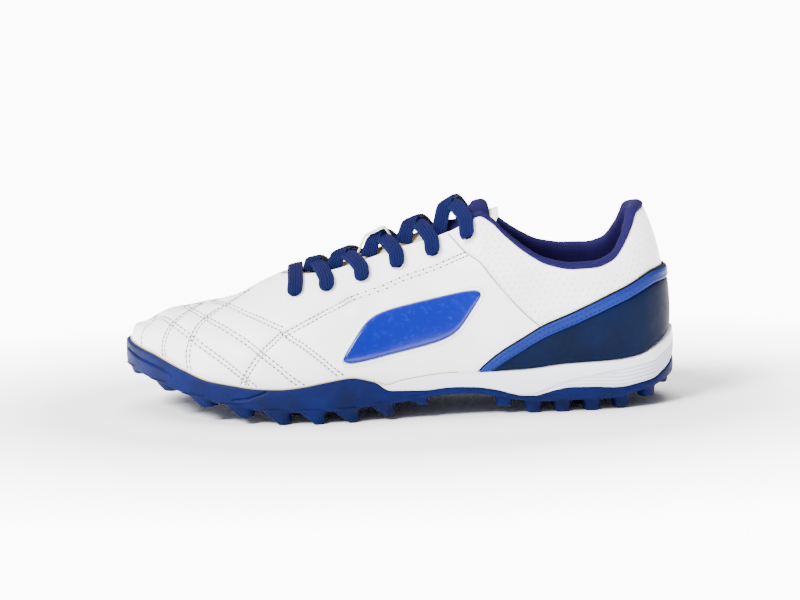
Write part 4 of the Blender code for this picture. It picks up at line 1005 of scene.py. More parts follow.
@dataclass(frozen=True)
class KnittedCloth:
    """Polyester mesh over foam: rows of small loops with dark holes between them, quite dull."""

    name: str = "knitted mesh purple"
    colour: str = "#170c4a"
    shade: str = "#090526"
    loop_mm: float = 1.5
    roughness: float = 0.82

    def build(self) -> Material:
        """Make the material from waves along and across the UV in millimetres: their product is the hole.

        The real loops are about 1 mm, and are drawn a little coarser so that they show.
        """
        material, tree, shader = blank_material(self.name)
        place = add_node(tree, "ShaderNodeUVMap", {"uv_map": "mm"}, {}).outputs["UV"]
        parts = add_node(tree, "ShaderNodeSeparateXYZ", {}, {"Vector": place})
        turn = 2.0 * math.pi / self.loop_mm
        one = math_node(tree, "SINE", math_node(tree, "MULTIPLY", parts.outputs["X"], turn))
        lean = math_node(tree, "MULTIPLY", parts.outputs["X"], 0.5)
        slanted = math_node(tree, "ADD", parts.outputs["Y"], lean)
        two = math_node(tree, "SINE", math_node(tree, "MULTIPLY", slanted, turn))
        weave = math_node(tree, "MULTIPLY", one, two)
        share = shape_range(tree, weave, -0.5, 0.6)
        colour = mix_colours(tree, share, linear(self.shade), linear(self.colour))
        shader.inputs["Roughness"].default_value = self.roughness
        shader.inputs["Specular IOR Level"].default_value = 0.12
        shader.inputs["Sheen Roughness"].default_value = 0.4
        finish(tree, colour, weave, 0.5, 0.0002)
        return material


@dataclass(frozen=True)
class WovenTape:
    """Flat polyester braid: short slanted yarns, dull, with a painted highlight on the ridges and painted
    shade in the grooves.
    """

    name: str = "woven lace blue"
    colour: str = "#080f48"
    shade: str = "#03051c"
    yarn_mm: float = 0.9
    roughness: float = 0.75

    def build(self) -> Material:
        """Make the material: slanted waves over the piece's UV in millimetres, broken up by a fine noise; the
        same waves set the colour, painted shade in the grooves and painted highlight on the ridges.
        """
        material, tree, shader = blank_material(self.name)
        place = add_node(tree, "ShaderNodeUVMap", {"uv_map": "mm"}, {}).outputs["UV"]
        parts = add_node(tree, "ShaderNodeSeparateXYZ", {}, {"Vector": place})
        turn = 2.0 * math.pi / self.yarn_mm
        lean = math_node(tree, "MULTIPLY", parts.outputs["Y"], 0.7)
        slant = math_node(tree, "ADD", parts.outputs["X"], lean)
        wave = math_node(tree, "SINE", math_node(tree, "MULTIPLY", slant, turn))
        noise = add_node(tree, "ShaderNodeTexNoise", {}, {"Vector": place, "Scale": 2.2, "Detail": 2.0})
        level = math_node(tree, "ADD", wave, noise.outputs["Fac"])
        # Painted light: the braid's grooves take the shade colour as painted shade, its ridges the main
        # colour as painted highlight.
        share = shape_range(tree, level, -0.6, 1.5)
        colour = mix_colours(tree, share, linear(self.shade), linear(self.colour))
        shader.inputs["Roughness"].default_value = self.roughness
        shader.inputs["Specular IOR Level"].default_value = 0.1
        finish(tree, colour, level, 0.5, 0.00015)
        return material


@dataclass(frozen=True)
class GlossyFilm:
    """Heat-pressed polyurethane film: a wet gloss over a crinkled ground, with a painted highlight where it
    crinkles.
    """

    name: str = "pressed film blue"
    colour: str = "#000f74"
    # light is the colour of the painted highlight on the crinkles
    light: str = "#06248e"
    crinkle_mm: float = 2.4

    def build(self) -> Material:
        """Make the material from a stretched noise for the crinkle, which also mixes in the painted
        highlight, and a coat for the wet gloss.
        """
        material, tree, shader = blank_material(self.name)
        place = add_node(tree, "ShaderNodeTexCoord", {}, {}).outputs["Object"]
        crinkle = add_node(tree, "ShaderNodeTexNoise", {}, {
            "Vector": place, "Scale": 1000.0 / self.crinkle_mm, "Detail": 4.0, "Distortion": 0.6,
        }).outputs["Fac"]
        # Painted highlight: the crinkles' high places take the lighter colour.
        share = shape_range(tree, crinkle, 0.55, 0.80)
        colour = mix_colours(tree, share, linear(self.colour), linear(self.light))
        shader.inputs["Roughness"].default_value = 0.22
        shader.inputs["Specular IOR Level"].default_value = 0.2
        shader.inputs["Coat Weight"].default_value = 0.14
        shader.inputs["Coat Roughness"].default_value = 0.1
        finish(tree, colour, crinkle, 0.38, 0.0003)
        return material


@dataclass(frozen=True)
class SewingThread:
    """Bonded nylon thread: its twist is too fine to see, so a soft shine and a slight unevenness show. The
    same plain material also makes the painted shadow lines and beads, and the glue line.
    """

    name: str
    colour: str
    roughness: float = 0.55

    def build(self) -> Material:
        """Make the material from one noise that lightens and darkens the thread."""
        material, tree, shader = blank_material(self.name)
        place = add_node(tree, "ShaderNodeTexCoord", {}, {}).outputs["Object"]
        noise = add_node(tree, "ShaderNodeTexNoise", {}, {"Vector": place, "Scale": 900.0}).outputs["Fac"]
        dark = tuple(c * 0.72 for c in linear(self.colour)[:3]) + (1.0,)
        colour = mix_colours(tree, noise, dark, linear(self.colour))
        tree.links.new(colour, shader.inputs["Base Color"])
        shader.inputs["Roughness"].default_value = self.roughness
        shader.inputs["Specular IOR Level"].default_value = 0.12
        return material


def even_angles(count: int, last: float = math.pi, both: bool = True) -> Array:
    """Angles spread evenly along the outline's own length.

    Args:
        count: how many on one side.
        last: the angle at which they end, counted from the heel.
        both: whether the other side is added, to go right round.

    Returns:
        The angles, from minus last to last, or right round once where last is pi.
    """
    fine = np.linspace(0.0, last, 2001)
    x, y = LAST.sole_edge(fine)
    gone = gone_along(np.stack([x, y], axis=-1))
    side = np.interp(np.linspace(0.0, gone[-1], count), gone, fine)
    if not both:
        return side
    if last >= math.pi:
        return np.concatenate([side, -side[-2:0:-1]])
    return np.concatenate([-side[:0:-1], side])


def sole_row(angle: Array, inset: Array, z: Array, share: Array = 1.0) -> Array:
    """One level of a sole: its outline moved in by inset, then drawn to the middle line to a share."""
    x, y = LAST.outline(angle, inset)
    between = (x + LAST.outline(-angle, inset)[0]) / 2.0
    centre = LAST.middle(angle)
    parts = (between + (x - between) * share, centre + (y - centre) * share, z)
    return np.stack(np.broadcast_arrays(*parts), axis=-1)


@dataclass
class Sole:
    """Rubber outsole with its lugs, the foam wedge on it, and the footbed."""

    rubber: Material
    foam: Material
    cloth: Material
    groove_depth: float = 0.0011
    groove_half_width: float = 0.00055
    nose_length: float = 0.030
    rib_count: int = 5
    rib_pitch: float = 0.0019
    rib_depth: float = 0.0010
    edge_inset: float = 0.0070
    heel_pitch: float = 0.0150
    toe_pitch: float = 0.0185
    heel_pairs: int = 7
    toe_pairs: int = 9
    root_depth: float = 0.0022

    def rim(self, angle: Array) -> Array:
        """Top of the rubber: the bite in front, running smoothly down to the split line under the foam."""
        share = ease((along_at(angle) - LAST.midsole_nose + 0.006) / self.nose_length)
        split = LAST.sole_level(SPLIT_CURVE, angle)
        return split + share * (LAST.bite(angle) - split)

    def grooves(self) -> list[Array]:
        """The bumper's two cut lines on each side, as points on the sole's outer wall."""
        lines = []
        for side in Side:
            for table in (TOE_GROOVE, BALL_GROOVE):
                rows = smooth_path(np.array(table), 40)
                angle = side.value * angle_at(rows[:, 0])
                base = LAST.sole_level(BASE_CURVE, angle)
                z = base + rows[:, 1] * (self.rim(angle) - base)
                lines.append(sole_row(angle, 0.0, z))
        return lines

    def make_outsole(self) -> Piece:
        """The rubber cup: bed, lip, side wall with its cut lines, rounded lower edge and underside.

        Its profile goes from the middle of the bed out to the lip, down the wall and back under. The wall
        swells by a sine over its height, less the cut lines' bell-shaped depth.
        """
        angle = even_angles(420)
        rim, base = self.rim(angle), LAST.sole_level(BASE_CURVE, angle)
        bed = np.minimum(LAST.floor(angle), rim - 0.0004)
        rows = [sole_row(angle, LAST.lip, bed, s) for s in (0.0, 0.3, 0.6, 0.85, 1.0)]
        rows += [sole_row(angle, LAST.lip, rim - 0.0003), sole_row(angle, LAST.lip - 0.0005, rim)]
        rows.append(sole_row(angle, 0.0006, rim))
        levels = np.linspace(0.97, 0.12, 34)
        swell = 0.0005 * np.sin(math.pi * levels) ** 0.5
        wall = np.stack([
            sole_row(angle, 0.0003 - s, base + t * (rim - base)) for t, s in zip(levels, swell)
        ])
        cut = np.zeros(wall.shape[:2])
        for line in self.grooves():
            cut = np.maximum(cut, bell(line_distance(wall, line), self.groove_half_width))
        inwards = sole_row(angle, 0.001, base) - sole_row(angle, 0.0, base)
        wall = wall + (inwards / 0.001)[None] * (cut * self.groove_depth)[..., None]
        under = [(0.0006, 0.07), (0.0014, 0.03), (0.0026, 0.005), (0.0042, 0.0)]
        low = [sole_row(angle, inset, base + t * (rim - base)) for inset, t in under]
        low += [sole_row(angle, 0.0042, base, s) for s in (0.85, 0.6, 0.3, 0.0)]
        points = np.concatenate([np.stack(rows), wall, np.stack(low)])
        return put(grid_piece("outsole_cup", points, close_across=True), "outsole", self.rubber, "outsole")

    def edge_angles(self, start: float, pitch: float, pairs: int) -> Array:
        """Angles of one side's edge lugs: half a pitch from an end of the outline, then one pitch apart."""
        fine = np.linspace(start, math.pi - start, 4001)
        x, y = LAST.outline(fine, self.edge_inset)
        gone = gone_along(np.stack([x, y], axis=-1))
        return np.interp(pitch * (0.5 + np.arange(pairs)), gone, fine)

    def lug(self, spot: Pair, turn: float, half: Pair, heights: Pair, lean: Pair, taper: float,
            wedge: float = 0.0) -> Array:
        """Points of one lug: rounded squares that narrow from the root to the tip and lean.

        Args:
            spot: X and Y of the middle of the root.
            turn: direction of the lug's length, from +X.
            half: half length and half width at the root.
            heights: heights of the root and the tip.
            lean: how far the tip moves along the lug's length and across it.
            taper: the tip's size as a share of the root's.
            wedge: how much of the depth is lost on the lug's toe side, which is also drawn out.

        Returns:
            A grid of levels by places round the lug.
        """
        round_way = full_turn(20)
        cos, sin = np.cos(round_way), np.sin(round_way)
        square = 1.0 / (np.abs(cos) ** 3.2 + np.abs(sin) ** 3.2) ** (1.0 / 3.2)
        down = np.array([0.0, 0.10, 0.22, 0.36, 0.55, 0.74, 0.88, 0.96, 1.0, 1.0, 1.0])
        flare = 0.22 * (1.0 - ease(down / 0.45))
        size = 1.0 + flare - (1.0 - taper) * down
        size = size * np.array([1.0, 1.0, 1.0, 1.0, 1.0, 1.0, 1.0, 0.96, 0.86, 0.5, 0.0])
        heelward = math.copysign(1.0, math.cos(turn)) * cos * square
        stretch = 1.0 + 0.45 * (heelward < 0.0) * ease(-heelward) * min(wedge * 2.0, 1.0)
        along = size[:, None] * half[0] * cos * square * stretch + (lean[0] * down)[:, None]
        across = size[:, None] * half[1] * sin * square + (lean[1] * down)[:, None]
        x = spot[0] + along * math.cos(turn) - across * math.sin(turn)
        y = spot[1] + along * math.sin(turn) + across * math.cos(turn)
        full = 1.0 - wedge * np.clip(-size[:, None] * heelward / taper, 0.0, 1.0)
        z = heights[0] + (heights[1] - heights[0]) * down[:, None] * full
        return np.stack([x, y, z], axis=-1)

    def lug_heights(self, angle: float) -> Pair:
        """Heights of a lug's root, inside the base, and of its tip."""
        base = float(LAST.sole_level(BASE_CURVE, angle))
        return base + self.root_depth, base - float(LUG_CURVE.at(angle)) * LAST.lug_height

    def edge_lug(self, angle: float, half: Pair, lean: Pair, taper: float, wedge: float = 0.0) -> Array:
        """A lug on the sole's edge, its tip leaning to the heel and outwards by the two values of lean."""
        x, y = (float(c) for c in LAST.outline(angle, self.edge_inset))
        x_next, y_next = (float(c) for c in LAST.outline(angle + 0.01, self.edge_inset))
        turn = math.atan2(y_next - y, x_next - x)
        to_heel = math.copysign(lean[0], math.cos(turn))
        outwards = math.copysign(lean[1], (y - float(LAST.middle(angle))) * math.cos(turn))
        return self.lug((x, y), turn, half, self.lug_heights(angle), (to_heel, outwards), taper, wedge)

    def make_lugs(self) -> Piece:
        """All the lugs: round studs at the heel, wedges along the forefoot's edge, small ones inside."""
        grids = []
        for side in Side:
            for angle in side.value * self.edge_angles(0.0, self.heel_pitch, self.heel_pairs):
                grids.append(self.edge_lug(float(angle), (0.0050, 0.0050), (0.0, 0.0008), 0.74))
            for angle in side.value * self.edge_angles(math.pi, self.toe_pitch, self.toe_pairs):
                grids.append(self.edge_lug(float(angle), (0.0070, 0.0062), (0.0016, 0.0012), 0.78, 0.72))
        for along, offset in INNER_LUGS:
            angle = float(angle_at(along))
            x, edge = (float(c) for c in LAST.sole_edge(angle))
            centre = float(LAST.middle(angle))
            spot = (x, centre + offset * (edge - centre))
            grids.append(self.lug(spot, 0.0, (0.0046, 0.0042), self.lug_heights(angle), (0.0, 0.0), 0.72))
        return put(many_grids("outsole_lugs", np.stack(grids)), "outsole", self.rubber)

    def make_midsole(self) -> Piece:
        """The foam wedge: its wall swells a little, and fine cut lines fan out round the heel.

        Each line lies a set height above the split line, times an ease that sinks it into the lower edge
        towards the front.
        """
        tip = float(angle_at(LAST.midsole_nose + self.nose_length - 0.007))
        angle = even_angles(300, tip)
        under, top = self.rim(angle) + 0.0002, LAST.bite(angle)
        top = np.maximum(top, under + 0.0001)
        bed = np.minimum(LAST.floor(angle) + 0.0003, top - 0.00005)
        rows = [sole_row(angle, LAST.lip, bed, s) for s in (0.0, 0.4, 0.8, 1.0)]
        rows += [sole_row(angle, inset, top) for inset in (LAST.lip, 0.0007)]
        rows.append(sole_row(angle, 0.0001, top - 0.04 * (top - under)))
        levels = np.linspace(0.93, 0.07, 56)
        along = along_at(angle)
        wall = []
        for t in levels:
            z = under + t * (top - under)
            cut = np.zeros(len(angle))
            for k in range(self.rib_count):
                line = (0.0016 + self.rib_pitch * k) * ease((0.36 - 0.02 * k - along) / 0.20)
                deep = ease((0.31 - 0.012 * k - along) / 0.05)
                cut = np.maximum(cut, deep * bell(z - under - line, 0.00042))
            inset = 0.0002 - 0.0006 * math.sin(math.pi * t) + cut * self.rib_depth
            wall.append(sole_row(angle, inset, z))
        low = [sole_row(angle, 0.0006, under + 0.02 * (top - under)), sole_row(angle, 0.0014, under)]
        low += [sole_row(angle, 0.0016, under, s) for s in (0.8, 0.4, 0.0)]
        points = np.stack(rows + wall + low)
        return put(grid_piece("midsole_wedge", points), "midsole", self.foam, "midsole")

    def make_insole(self) -> Piece:
        """The footbed: a soft-edged sheet that follows the floor."""
        angle = even_angles(160)
        inset = LAST.lip + 2.0 * LAST.gap + LAST.wall
        floor = LAST.floor(angle) + LAST.gap
        rows = [sole_row(angle, inset, floor, s) for s in (0.0, 0.5, 0.9)]
        rows += [sole_row(angle, inset, floor + h) for h in (0.0002, 0.0015, 0.0026)]
        rows += [sole_row(angle, inset + i, floor + h) for i, h in ((0.0006, 0.0032), (0.0014, 0.0035))]
        rows += [sole_row(angle, inset + 0.0014, floor + 0.0035, s) for s in (0.85, 0.6, 0.3, 0.0)]
        points = np.stack(rows)
        uv = np.stack([points[..., 0], points[..., 1]], axis=-1) * 1000.0
        uv = np.concatenate([uv, uv[:, :1]], axis=1)
        piece = grid_piece("insole_footbed", points, close_across=True, uv=uv)
        return put(piece, "insole", self.cloth, "insole")

    def build(self) -> None:
        """Make all the pieces of the sole."""
        self.make_outsole()
        self.make_lugs()
        self.make_midsole()
        self.make_insole()


def side_line(table: tuple, side: Side, count: int) -> tuple[Array, Array]:
    """A seam on one side of the upper, from its table of shares.

    Returns:
        The angles and the levels of points along it.
    """
    rows = smooth_path(np.array(table), count)
    return side.value * angle_at(rows[:, 0]), np.clip(rows[:, 1], 0.0, 1.0)


def skin_line(angles: Array, levels: Array, lift: float = 0.0) -> tuple[Array, Array]:
    """The places of a line on the upper's surface, lifted off it, and the directions out of it."""
    return LAST.lifted(angles, levels, np.full(angles.shape, lift)), LAST.normal(angles, levels)


def offset_line(points: Array, normals: Array, reach: float) -> Array:
    """A line moved sideways along the surface: across its own way and the surface's outward one."""
    ways = unit(np.gradient(points, axis=0))
    return points + unit(np.cross(normals, ways)) * reach


def quilt_swell(angle: Array, v: Array) -> Array:
    """The padding's fullness over the toe, let in by the seams."""
    along = along_at(angle)
    return 0.00050 * ease((along - 0.60) / 0.10) * ease(v / 0.08) * ease((1.0 - along) / 0.08)


def settled(angle: Array, v: Array, points: Array) -> Array:
    """Points of the skin with the empty toe's crown settled, most of all at its tip, which rounds it."""
    along = along_at(angle)
    crown = 0.0016 * ease((along - 0.72) / 0.08) * ease((v - 0.2) / 0.7)
    tip = 0.0034 * ease((along - 0.955) / 0.045) * ease((v - 0.35) / 0.65)
    return points - (crown + tip)[..., None] * np.array([0.0, 0.0, 1.0])


@dataclass(frozen=True)
class SeamLine:
    """One sewn line on the skin: its places, the way out of it, how far it swells out there, and its rows."""

    points: Array
    normals: Array
    swell: Array
    fade: Array
    double: bool


@dataclass
class Seams:
    """All the sewn lines of the upper: where they press the leather in, and their thread."""

    thread: Material
    # hole is the dark material of the needle holes' painted shadow
    hole: Material
    pitch: float = 0.0027
    half_gap: float = 0.0011
    press_depths: tuple[float, float] = (0.00050, 0.00045)
    press_reaches: tuple[float, float] = (0.0020, 0.0050)
    lines: list[SeamLine] = field(default_factory=list)

    def plan(self) -> None:
        """Work out the lines: arcs and slants over the toe, the eyestay's double line, on both sides."""
        tables = [(table, 70) for table in TOE_ARCS + VAMP_SLANTS] + [(EYESTAY_SEAM, 160)]
        for side in Side:
            for table, count in tables:
                angles, levels = side_line(table, side, count)
                points, normals = skin_line(angles, levels)
                points = settled(angles, levels, points)
                fade = ease(levels / 0.05)
                self.lines.append(
                    SeamLine(points, normals, quilt_swell(angles, levels), fade, table is not TOE_ARCS[0])
                )

    def press(self, gap: Array) -> Array:
        """Depth of the leather beside a line: a narrow bell under the thread and a wide soft one round it."""
        return sum(d * bell(gap, r) for d, r in zip(self.press_depths, self.press_reaches))

    def pressed(self, points: Array) -> Array:
        """How deep the leather lies at each point, by its distance to the nearest line."""
        gap = np.full(points.shape[:2], 1.0)
        for line in self.lines:
            gap = np.minimum(gap, line_distance(points, line.points))
        return self.press(gap)

    def row(self, line: SeamLine, reach: float, shift: float) -> tuple[Array, Array, Array]:
        """Places of one row of stitches on the pressed leather, a pitch apart, and their two directions."""
        depth = float(self.press(np.array(abs(reach))))
        lift = (line.swell - depth + 0.00008) * line.fade
        moved = offset_line(line.points, line.normals, reach) + line.normals * lift[:, None]
        _, share = even_path(moved, self.pitch)
        share = np.clip(share + shift * (share[1] - share[0]), 0.0, 1.0)
        sets = (moved, np.gradient(moved, axis=0), line.normals)
        spots, ways, ups = (read_along(share, values) for values in sets)
        return spots, unit(ways), unit(ups)

    def stitch(self) -> None:
        """Sew the lines: a grain of thread a pitch, and between two of them a dark bead of painted shadow
        where the needle hole is.
        """
        kinds = (
            ("upper_thread", self.thread, 0.0, (0.00095, 0.00030, 0.00026)),
            # dark beads of painted shadow at the needle holes
            ("upper_needle_hole_shadows", self.hole, 0.5, (0.00066, 0.00040, 0.00022)),
        )
        for name, material, shift, half in kinds:
            rows = []
            for line in self.lines:
                for reach in ((-self.half_gap, self.half_gap) if line.double else (0.0,)):
                    rows.append(self.row(line, reach, shift))
            spots, ways, ups = (np.concatenate(values) for values in zip(*rows))
            put(beads(name, spots, ways, ups, half), "upper", material)


@dataclass
class Upper:
    """The white shell: one hollow wall, quilted over the toe, stepped at the quarter, with eyelets."""

    leather: Material
    seams: Seams
    # edge is the grey of the painted shadow line along the quarter's step
    edge: Material
    glue: Material
    count: int = 510
    outer_rows: int = 138
    inner_rows: int = 22
    girth_row: int = 40
    low_level: float = -0.9
    roll: tuple[float, ...] = (0.2, 0.4, 0.6, 0.8)
    roll_height: float = 0.0006
    kept_share: float = 0.565
    eyelet_radius: float = 0.0021
    quarter_step: float = 0.0005

    def behind_quarter(self, angle: Array, v: Array) -> Array:
        """1 behind the slanting quarter seam, 0 in front of it, found by the seam's place at each level."""
        table = np.array(sorted((level, along) for along, level in QUARTER_SEAM))
        seam = np.interp(v, table[:, 0], table[:, 1])
        return ease((seam - along_at(angle)) * LAST.length / 0.0009 + 0.5)

    def creases(self, angle: Array, v: Array) -> Array:
        """The soft flex folds behind the toe and at the ankle: slanting waves that fade out all round."""
        along = along_at(angle)
        bend = bell(along - 0.60, 0.07) * bell(v - 0.62, 0.22)
        folds = np.sin((along * 0.9 + v * 0.11) * 2.0 * math.pi / 0.047)
        ankle = bell(along - 0.30, 0.06) * bell(v - 0.55, 0.25)
        sag = np.sin((along + v * 0.25) * 2.0 * math.pi / 0.10)
        return 0.00022 * bend * folds + 0.00030 * ankle * sag

    def make_shell(self) -> Piece:
        """The wall: outer surface, rolled edge and inner surface in one grid, closed over the toe.

        The outer surface is the last's own, moved in by the seams' depth, out by the quilting's swell and the
        creases, and in by the quarter seam's step. The inner one lies a wall inside it.
        """
        angle = even_angles(self.count)
        levels = np.concatenate([np.linspace(self.low_level, 0.0, 5)[:-1], bow(self.outer_rows, 0.25)])
        wide_angle = np.broadcast_to(angle, (len(levels), len(angle)))
        wide_v = np.broadcast_to(levels[:, None], wide_angle.shape)
        base = settled(wide_angle, wide_v, LAST.skin(angle[None], levels[:, None]))
        normal = LAST.normal(angle[None], levels[:, None])
        behind = self.behind_quarter(wide_angle, wide_v)
        lift = quilt_swell(wide_angle, wide_v) + self.creases(wide_angle, wide_v)
        lift = (lift - self.seams.pressed(base)) * ease(wide_v / 0.05)
        lift -= self.quarter_step * behind * ease(wide_v / 0.05)
        crown = along_at(angle) > LAST.throat_front
        outer = base + normal * lift[..., None]
        inner_levels = bow(self.inner_rows, 0.25)[::-1]
        inside = np.full((self.inner_rows, len(angle)), -LAST.wall)
        inner = LAST.lifted(angle[None], inner_levels[:, None], inside)
        inner = settled(*np.broadcast_arrays(angle[None], inner_levels[:, None]), inner)
        low = LAST.lifted(angle[None], np.array([[self.low_level]]), inside[:1])
        roll = []
        up = LAST.up(angle, np.ones(len(angle)))
        for t in self.roll:
            hump = self.roll_height * math.sin(math.pi * t)
            fade = np.where(crown, 0.0, 1.0)[:, None]
            roll.append(outer[-1] + (inner[0] - outer[-1]) * t + up * hump * fade)
        points = np.concatenate([outer, np.stack(roll), inner, low])
        points = self.close_crown(points, len(levels), crown)
        return self.finish_shell(points, angle)

    def close_crown(self, points: Array, top: int, crown: Array) -> Array:
        """Bring both sides of the outer and the inner surface together on the vamp's middle line.

        Over the toe the rolled edge has no place: its rows are drawn onto the outer surface's last row.
        """
        across = points.shape[1]
        mirror = (across - np.arange(across)) % across
        for row in (top - 1, top + len(self.roll)):
            both = (points[row] + points[row][mirror]) / 2.0
            points[row] = np.where(crown[:, None], both, points[row])
        return points

    def finish_shell(self, points: Array, angle: Array) -> Piece:
        """Build the mesh, leave out the faces of the edge over the toe, and punch the eyelets."""
        rows, across = points.shape[:2]
        top = rows - self.inner_rows - 1 - len(self.roll)
        faces = grid_faces(rows, across, True, True)
        row_of = np.repeat(np.arange(rows), across)
        crown = along_at(angle) > LAST.throat_front
        column = np.tile(np.arange(across), rows)
        both = crown[column] & crown[(column + 1) % across]
        kept = ~(both & (row_of >= top - 1) & (row_of < top + len(self.roll)))
        around = gone_along(points[self.girth_row])
        steps = np.linalg.norm(np.diff(points, axis=0), axis=-1)
        up_way = np.concatenate([np.zeros((1, across)), np.cumsum(steps, axis=0)])
        u = np.broadcast_to(around, (rows, across))
        uv = np.stack([u, up_way], axis=-1) * 1000.0
        order = faces[kept]
        corners = uv.reshape(-1, 2)[order].reshape(-1, 2)
        piece = build_piece("upper_shell", points.reshape(-1, 3), order, corners, sharp=60.0)
        self.mark_pinholes(piece)
        self.punch(piece)
        return put(piece, "upper", self.leather, "upper")

    def mark_pinholes(self, piece: Piece) -> None:
        """Store where the leather is pinholed: behind the quarter seam and over the counter's line."""
        count = len(piece.data.vertices)
        places = np.empty(count * 3, np.float32)
        piece.data.vertices.foreach_get("co", places)
        places = places.reshape(-1, 3)
        along = np.clip(0.5 - places[:, 0] / LAST.length, 0.0, 1.0)
        angle = np.sign(places[:, 1]) * angle_at(along)
        z = places[:, 2]
        v = LAST.row_at_height(angle, z)
        values = self.behind_quarter(angle, v) * ease((v - 0.12) / 0.10) * ease((0.96 - v) / 0.05)
        values = values * ease((z - self.counter_line(angle)) / 0.004 + 0.4)
        layer = piece.data.attributes.new("pinholes", "FLOAT", "POINT")
        layer.data.foreach_set("value", np.ascontiguousarray(values, np.float32))

    def counter_line(self, angle: Array) -> Array:
        """Height of the counter's upper line."""
        start = float(LAST.bite(0.0))
        return start + COUNTER_CURVE.at(angle) * (LAST.vamp_height - start)

    def punch(self, piece: Piece) -> None:
        """Thin the flat areas to a share of the faces, and cut the twelve eyelets with round pins."""
        turn = full_turn(16)
        grids = []
        for row in range(len(EYELETS)):
            for side in Side:
                centre, out = LAST.eyelet(row, side)
                one = unit(np.cross(out, np.array([1.0, 0.0, 0.0])))
                two = np.cross(one, out)
                ring = self.eyelet_radius * (np.cos(turn)[:, None] * one + np.sin(turn)[:, None] * two)
                ends = [centre + out * reach for reach in (-0.005, 0.005)]
                grids.append(np.stack([np.repeat(ends[0][None], 16, 0), ends[0] + ring, ends[1] + ring,
                                       np.repeat(ends[1][None], 16, 0)]))
        pins = many_grids("eyelet_pins", np.stack(grids))
        piece.modifiers.new("thin", "DECIMATE").ratio = self.kept_share
        change = piece.modifiers.new("punch", "BOOLEAN")
        change.operation, change.solver, change.object = "DIFFERENCE", "FAST", pins
        bpy.context.view_layer.update()
        cut = bpy.data.meshes.new_from_object(piece.evaluated_get(bpy.context.evaluated_depsgraph_get()))
        piece.modifiers.clear()
        piece.data = cut
        bpy.data.objects.remove(pins)

    def step_shadow_and_glue_lines(self) -> None:
        """A thin grey line of painted shadow along the quarter's slanting seam, where its step lies, and the
        line of dried glue on the rubber's rim.
        """
        for side in Side:
            angle, v = side_line(QUARTER_SEAM, side, 120)
            path, out = skin_line(angle, v, -0.00015)
            name = f"quarter_edge_{side.name.lower()}"
            # a grey tube sunk into the step: painted shadow along the quarter seam
            put(tube_piece(name, round_sections(path, out, 0.00030)), "upper", self.edge)
        angle = np.linspace(float(angle_at(0.40)), 2.0 * math.pi - float(angle_at(0.40)), 400)
        path, out = skin_line(angle, np.zeros(400), 0.00025)
        put(tube_piece("glue_line", round_sections(path, out, 0.00042)), "upper", self.glue)

    def build(self) -> None:
        """Plan the seams, make the shell and sew it."""
        self.seams.plan()
        self.make_shell()
        self.seams.stitch()
        self.step_shadow_and_glue_lines()


@dataclass
class Collar:
    """Padded knitted lining inside the back of the upper, with a round rim above its edge."""

    cloth: Material
    count: int = 170
    around: int = 44
    depth: float = 0.028
    rim: float = 0.0042

    def controls(self, angle: Array) -> Array:
        """Twelve points round each section: up the wall's inside, over its edge, and down the pad's face."""
        pad = LAST.pad(angle)
        deep = LAST.wall + LAST.gap
        low = LAST.row_at_height(angle, LAST.edge_height(angle) - self.depth)
        mid = (low + 1.0) / 2.0
        top = np.ones(len(angle))
        edge, out, up = LAST.skin(angle, top), LAST.normal(angle, top), LAST.up(angle, top)

        def at_edge(inwards: Array, upwards: float) -> Array:
            """Points a way inwards from the edge and a way above it."""
            return edge - out * np.broadcast_to(inwards, angle.shape)[:, None] + up * upwards

        flat = np.full(len(angle), -deep)
        return np.stack([
            LAST.lifted(angle, low, flat),
            LAST.lifted(angle, mid, flat),
            at_edge(deep, -0.0004),
            at_edge(0.0014, 0.0005),
            at_edge(0.0002, 0.0007),
            at_edge(0.0, 0.50 * self.rim),
            at_edge(deep * 0.6, 0.90 * self.rim),
            at_edge(deep + 0.4 * pad, self.rim),
            at_edge(deep + 0.85 * pad, 0.62 * self.rim),
            at_edge(deep + 1.02 * pad, -0.3 * self.rim),
            LAST.lifted(angle, mid, -deep - 0.85 * pad),
            LAST.lifted(angle, low, -deep - 0.35 * pad),
        ])

    def build(self) -> None:
        """Make the pad: a closed smooth curve through the twelve points, carried along the edge."""
        angle = even_angles(self.count, float(angle_at(LAST.collar_pad_front)))
        sections = smooth_path(self.controls(angle), self.around * 2, closed=True)
        sections = np.swapaxes(sections, 0, 1)
        piece = put(strip_piece("collar_lining", sections), "collar", self.cloth, "collar")


